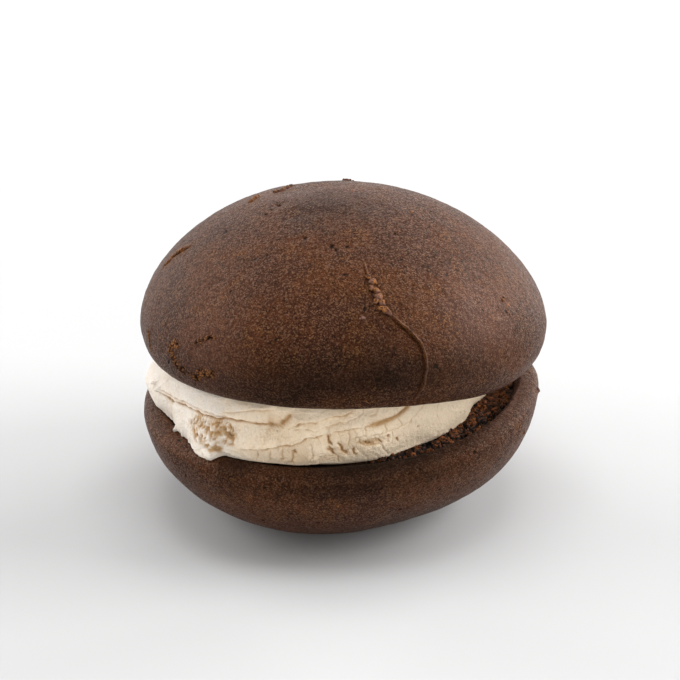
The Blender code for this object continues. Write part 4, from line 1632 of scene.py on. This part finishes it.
    def side(self, azimuth: Array, share: Array) -> tuple[Array, Array, Array, Array]:
        """The cream's side, from its lower edge at share 0 to its top edge at share 1.

        Args:
            azimuth: Azimuths.
            share: Shares of the way up.

        Returns:
            X, Y, Z from the lower cake's axis and the frame's floor, and the stain with painted shade.
        """
        plane_point = np.array(TOP_PLACEMENT @ Vector((0.0, 0.0, -TOP_FORM.rim_height)))
        plane_normal = np.array(TOP_PLACEMENT.to_3x3() @ Vector((0.0, 0.0, 1.0)))
        slope = math.tan(-BOTTOM_ROLL)

        def bottom_level(x: Array) -> Array:
            """The height of the lower cake's widest ring at an X."""
            return BOTTOM_CENTRE.z + x * slope

        smooth_reach = eased_knots(azimuth, self.reach)
        reach = smooth_reach + self.ragged_edge(azimuth) * (1.0 - smooth(share, 0.02, self.ragged_share))
        top_radius = np.minimum(self.top_radius, smooth_reach + self.lean)
        bulge = self.bulge + (self.side_bulge - self.bulge) * self.side_bulge_at.reach(azimuth)
        radius = reach + (top_radius - reach) * smooth(share, 0.0, 1.0) ** 0.5 * share**0.5
        radius = radius + bulge * np.sin(np.pi * np.clip(share, 0.0, 1.0)) ** self.bulge_power
        angle = np.radians(azimuth)
        low = bottom_level(reach * np.cos(angle)) + self.under_height(reach, azimuth) + 0.1
        top_x = top_radius * np.cos(angle) + BOTTOM_CENTRE.x - plane_point[0]
        top_y = top_radius * np.sin(angle) + BOTTOM_CENTRE.y - plane_point[1]
        high = plane_point[2] - (plane_normal[0] * top_x + plane_normal[1] * top_y) / plane_normal[2] + self.press
        level = low + (high - low) * share
        height = level - bottom_level(radius * np.cos(angle))
        free = smooth(np.minimum(share, 1.0 - share), 0.0, self.edge_share)
        rise, stain_and_shade = self.relief(azimuth, height)
        body = np.stack([radius * np.cos(angle), radius * np.sin(angle), level], axis=1)
        radius = radius + free * (rise + self.lump * self.grain.lumps(body, self.lump_size))
        return radius * np.cos(angle), radius * np.sin(angle), level, stain_and_shade * (0.3 + 0.7 * free)

    def build(self, finish: bpy.types.Material) -> None:
        """Models and dresses the cream.

        Args:
            finish: The cream's material.
        """
        under = len(self.under_radii)
        rings = under + self.wall_rings
        piece = add_drum("spread_cream", self.segments, rings)
        unit = read_points(piece)
        ring = np.rint((unit[:, 2] + 1.0) / 2.0 * (rings - 1)).astype(int)
        azimuth = crowded(unit, self.crowding, self.crowded_at)
        share = np.clip((ring - under) / (self.wall_rings - 1.0), 0.0, 1.0)
        x, y, z, stain_and_shade = self.side(azimuth, share)
        smooth_reach = eased_knots(azimuth, self.reach)
        steps = (under - np.minimum(ring, under)) * self.under_step
        inner = np.minimum(np.array([*self.under_radii, 99.0])[np.minimum(ring, under)], smooth_reach - steps)
        angle = np.radians(azimuth)
        below = BOTTOM_CENTRE.z + inner * np.cos(angle) * math.tan(-BOTTOM_ROLL) + self.under_height(inner, azimuth)
        is_under = ring < under
        points = np.column_stack(
            [
                np.where(is_under, inner * np.cos(angle), x) + BOTTOM_CENTRE.x,
                np.where(is_under, inner * np.sin(angle), y) + BOTTOM_CENTRE.y,
                np.where(is_under, below, z),
            ]
        )
        write_points(piece, points * MM)
        # Tan stain and painted shade of the side.
        paint(piece, "stain_and_shade", np.where(is_under, 0.0, stain_and_shade))
        hand_over(piece, finish, Solid.FILLING)


# Crumbs


@dataclass(frozen=True)
class CrumbHeap:
    """Small crumbs, modelled once as a rough ball and copied at many places into one mesh."""

    name: str
    grain: Grain
    variants: int = 12
    roughness: float = 0.55

    def rough_ball(self) -> tuple[Array, Array]:
        """Models one crumb: its vertices and its triangles."""
        ball = add_primitive("rough_ball", bpy.ops.mesh.primitive_ico_sphere_add, subdivisions=2, radius=1.0)
        points = read_points(ball)
        faces = np.empty(len(ball.data.polygons) * 3, np.int32)
        ball.data.polygons.foreach_get("vertices", faces)
        bpy.data.objects.remove(ball)
        return points, faces.reshape(-1, 3)

    def build(self, centres: Array, sizes: Array) -> bpy.types.Object:
        """Joins a copy of the crumb at each place.

        Args:
            centres: The crumbs' middles, in millimetres of the pie's frame.
            sizes: Their radii.

        Returns:
            The joined piece.
        """
        ball, triangles = self.rough_ball()
        draw = np.random.default_rng(self.grain.seed)
        points, faces = [], []
        for index, (centre, size) in enumerate(zip(centres, sizes)):
            rough = 1.0 + self.roughness * self.grain.lumps(ball + 7.0 * (index % self.variants), 0.9)
            turn = np.linalg.qr(draw.normal(size=(3, 3)))[0]
            turn *= np.sign(np.linalg.det(turn))
            shape = ball * rough[:, None] * draw.uniform(0.65, 1.25, 3)
            points.append((shape @ turn.T * size + centre) * MM)
            faces.append(triangles + index * len(ball))
        mesh = bpy.data.meshes.new(self.name)
        mesh.from_pydata(np.concatenate(points).tolist(), [], np.concatenate(faces).tolist())
        piece = bpy.data.objects.new(self.name, mesh)
        bpy.context.scene.collection.objects.link(piece)
        return piece


@dataclass(frozen=True)
class BedCrumbs:
    """The loose grains that stand up from the open crumb."""

    bed: CrumbBed = CrumbBed()
    count: int = 900
    smallest: float = 0.14
    largest: float = 0.44
    inner: float = 31.5
    lift: float = 0.25
    first_azimuth: float = -84.0
    last_azimuth: float = 70.0

    def build(self, finish: bpy.types.Material) -> None:
        """Scatters the grains over the open crumb.

        Args:
            finish: The crumb's material.
        """
        draw = np.random.default_rng(self.bed.grain.seed)
        azimuth = draw.uniform(self.first_azimuth, self.last_azimuth, self.count)
        outer = eased_knots(azimuth, self.bed.cake.crumb_reach) - 0.2
        radius = outer - (outer - self.inner) * draw.uniform(0.0, 1.0, self.count) ** 0.8
        sizes = self.smallest + (self.largest - self.smallest) * draw.uniform(0.0, 1.0, self.count) ** 2
        places, hole_shade = self.bed.point_at(radius, azimuth)
        kept = hole_shade < 0.5
        places[:, 2] += self.lift * sizes
        centres = placed(places[kept], BOTTOM_PLACEMENT) / MM
        piece = CrumbHeap("crumb_grains", Grain(61)).build(centres, sizes[kept])
        paint(piece, "hole_shade", np.zeros(len(piece.data.vertices)))
        hand_over(piece, finish, Solid.BOTTOM)


@dataclass(frozen=True)
class CrustCrumbs:
    """The few crumbs that stick to the upper crust, as X, Y and Z in its own frame, and radius."""

    spots: tuple[tuple[float, float, float, float], ...] = (
        (1.3, 16.6, 27.45, 0.45), (0.6, 16.9, 27.35, 0.36), (2.0, 16.4, 27.40, 0.34), (2.7, 16.6, 27.25, 0.22),
        (15.1, -9.6, 26.55, 0.22), (14.6, -9.3, 26.60, 0.16), (2.6, -0.8, 29.10, 0.20),
    )

    def build(self, finish: bpy.types.Material) -> None:
        """Models and dresses the crumbs.

        Args:
            finish: The crumb's material.
        """
        spots = np.array(self.spots)
        piece = CrumbHeap("crust_crumbs", Grain(71)).build(placed(spots[:, :3], TOP_PLACEMENT) / MM, spots[:, 3])
        paint(piece, "hole_shade", np.zeros(len(piece.data.vertices)))
        hand_over(piece, finish, Solid.TOP)


# Studio


@dataclass(frozen=True)
class Softbox:
    """A square soft light that points at the pie."""

    name: str
    place: tuple[float, float, float]
    size: float
    power: float


@dataclass(frozen=True)
class Studio:
    """The paper floor, the soft lights and the camera at the photograph's angle. Lengths are metres."""

    boxes: tuple[Softbox, ...] = (
        Softbox("overhead_softbox", (0.0, 0.0, 1.4), 1.0, 11.0),
        Softbox("back_softbox", (0.0, 1.3, 0.5), 0.9, 4.5),
        Softbox("back_left_softbox", (-0.9, 0.8, 0.6), 0.7, 6.3),
        Softbox("back_right_softbox", (0.9, 0.8, 0.6), 0.7, 8.6),
        Softbox("left_softbox", (-1.2, 0.0, 0.7), 0.8, 7.0),
        Softbox("right_softbox", (1.2, 0.0, 0.7), 0.8, 16.0),
        Softbox("front_softbox", (0.1, -1.3, 0.35), 0.8, 4.8),
        Softbox("low_left_softbox", (-1.0, 0.9, 0.15), 0.5, 2.0),
        Softbox("low_right_softbox", (1.0, 0.9, 0.15), 0.5, 4.8),
    )
    room_light: float = 0.28
    floor_size: float = 6.0
    elevation: float = 25.0
    distance: float = 0.7
    aim: tuple[float, float, float] = (0.449, 0.0, 14.318)
    sensor: float = 36.0
    focal_pixels: float = 3150.14
    frame_pixels: float = 680.0

    def add_floor(self) -> None:
        """Lays the paper under the pie."""
        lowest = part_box(Solid.BOTTOM.value)[0].z
        floor = add_primitive(
            "paper_floor", bpy.ops.mesh.primitive_plane_add, size=self.floor_size, location=(0.0, 0.0, lowest)
        )
        floor.data.materials.append(FloorFinish().material())

    def add_lights(self) -> None:
        """Hangs the softboxes and sets the room's own dim light."""
        for box in self.boxes:
            lamp = bpy.data.lights.new(box.name, "AREA")
            lamp.size = box.size
            lamp.energy = box.power
            holder = bpy.data.objects.new(box.name, lamp)
            bpy.context.scene.collection.objects.link(holder)
            holder.location = box.place
            aim = Vector((0.0, 0.0, BOTTOM_CENTRE.z * MM)) - Vector(box.place)
            holder.rotation_euler = aim.to_track_quat("-Z", "Y").to_euler()
        world = bpy.data.worlds.new("studio_room")
        world.use_nodes = True
        world.node_tree.nodes["Background"].inputs["Color"].default_value = (1.0, 1.0, 1.0, 1.0)
        world.node_tree.nodes["Background"].inputs["Strength"].default_value = self.room_light
        bpy.context.scene.world = world

    def add_camera(self) -> None:
        """Sets the camera at the photograph's angle."""
        data = bpy.data.cameras.new("camera")
        data.sensor_width = self.sensor
        data.lens = self.sensor * self.focal_pixels / self.frame_pixels
        data.clip_start = 0.01
        camera = bpy.data.objects.new("camera", data)
        bpy.context.scene.collection.objects.link(camera)
        lift = math.radians(self.elevation)
        away = Vector((0.0, -math.cos(lift), math.sin(lift)))
        camera.location = (BOTTOM_CENTRE + Vector(self.aim)) * MM + self.distance * away
        camera.rotation_euler = (math.radians(90.0) - lift, 0.0, 0.0)
        bpy.context.scene.camera = camera
        bpy.context.scene.view_settings.view_transform = "Standard"


def main() -> None:
    """Builds the pie and the studio."""
    studio = Studio()
    studio.add_floor()
    studio.add_lights()
    studio.add_camera()
    crust = CrustFinish("baked_chocolate_crust").material()
    crumb = CrumbFinish("open_chocolate_crumb").material()
    cream = CreamFinish("spread_cream").material()
    TopCake().build(crust)
    BottomCake().build(crust)
    CrumbBed().build(crumb)
    BedCrumbs().build(crumb)
    Cream().build(cream)
    CrustCrumbs().build(crumb)


if __name__ == "__main__":
    main()
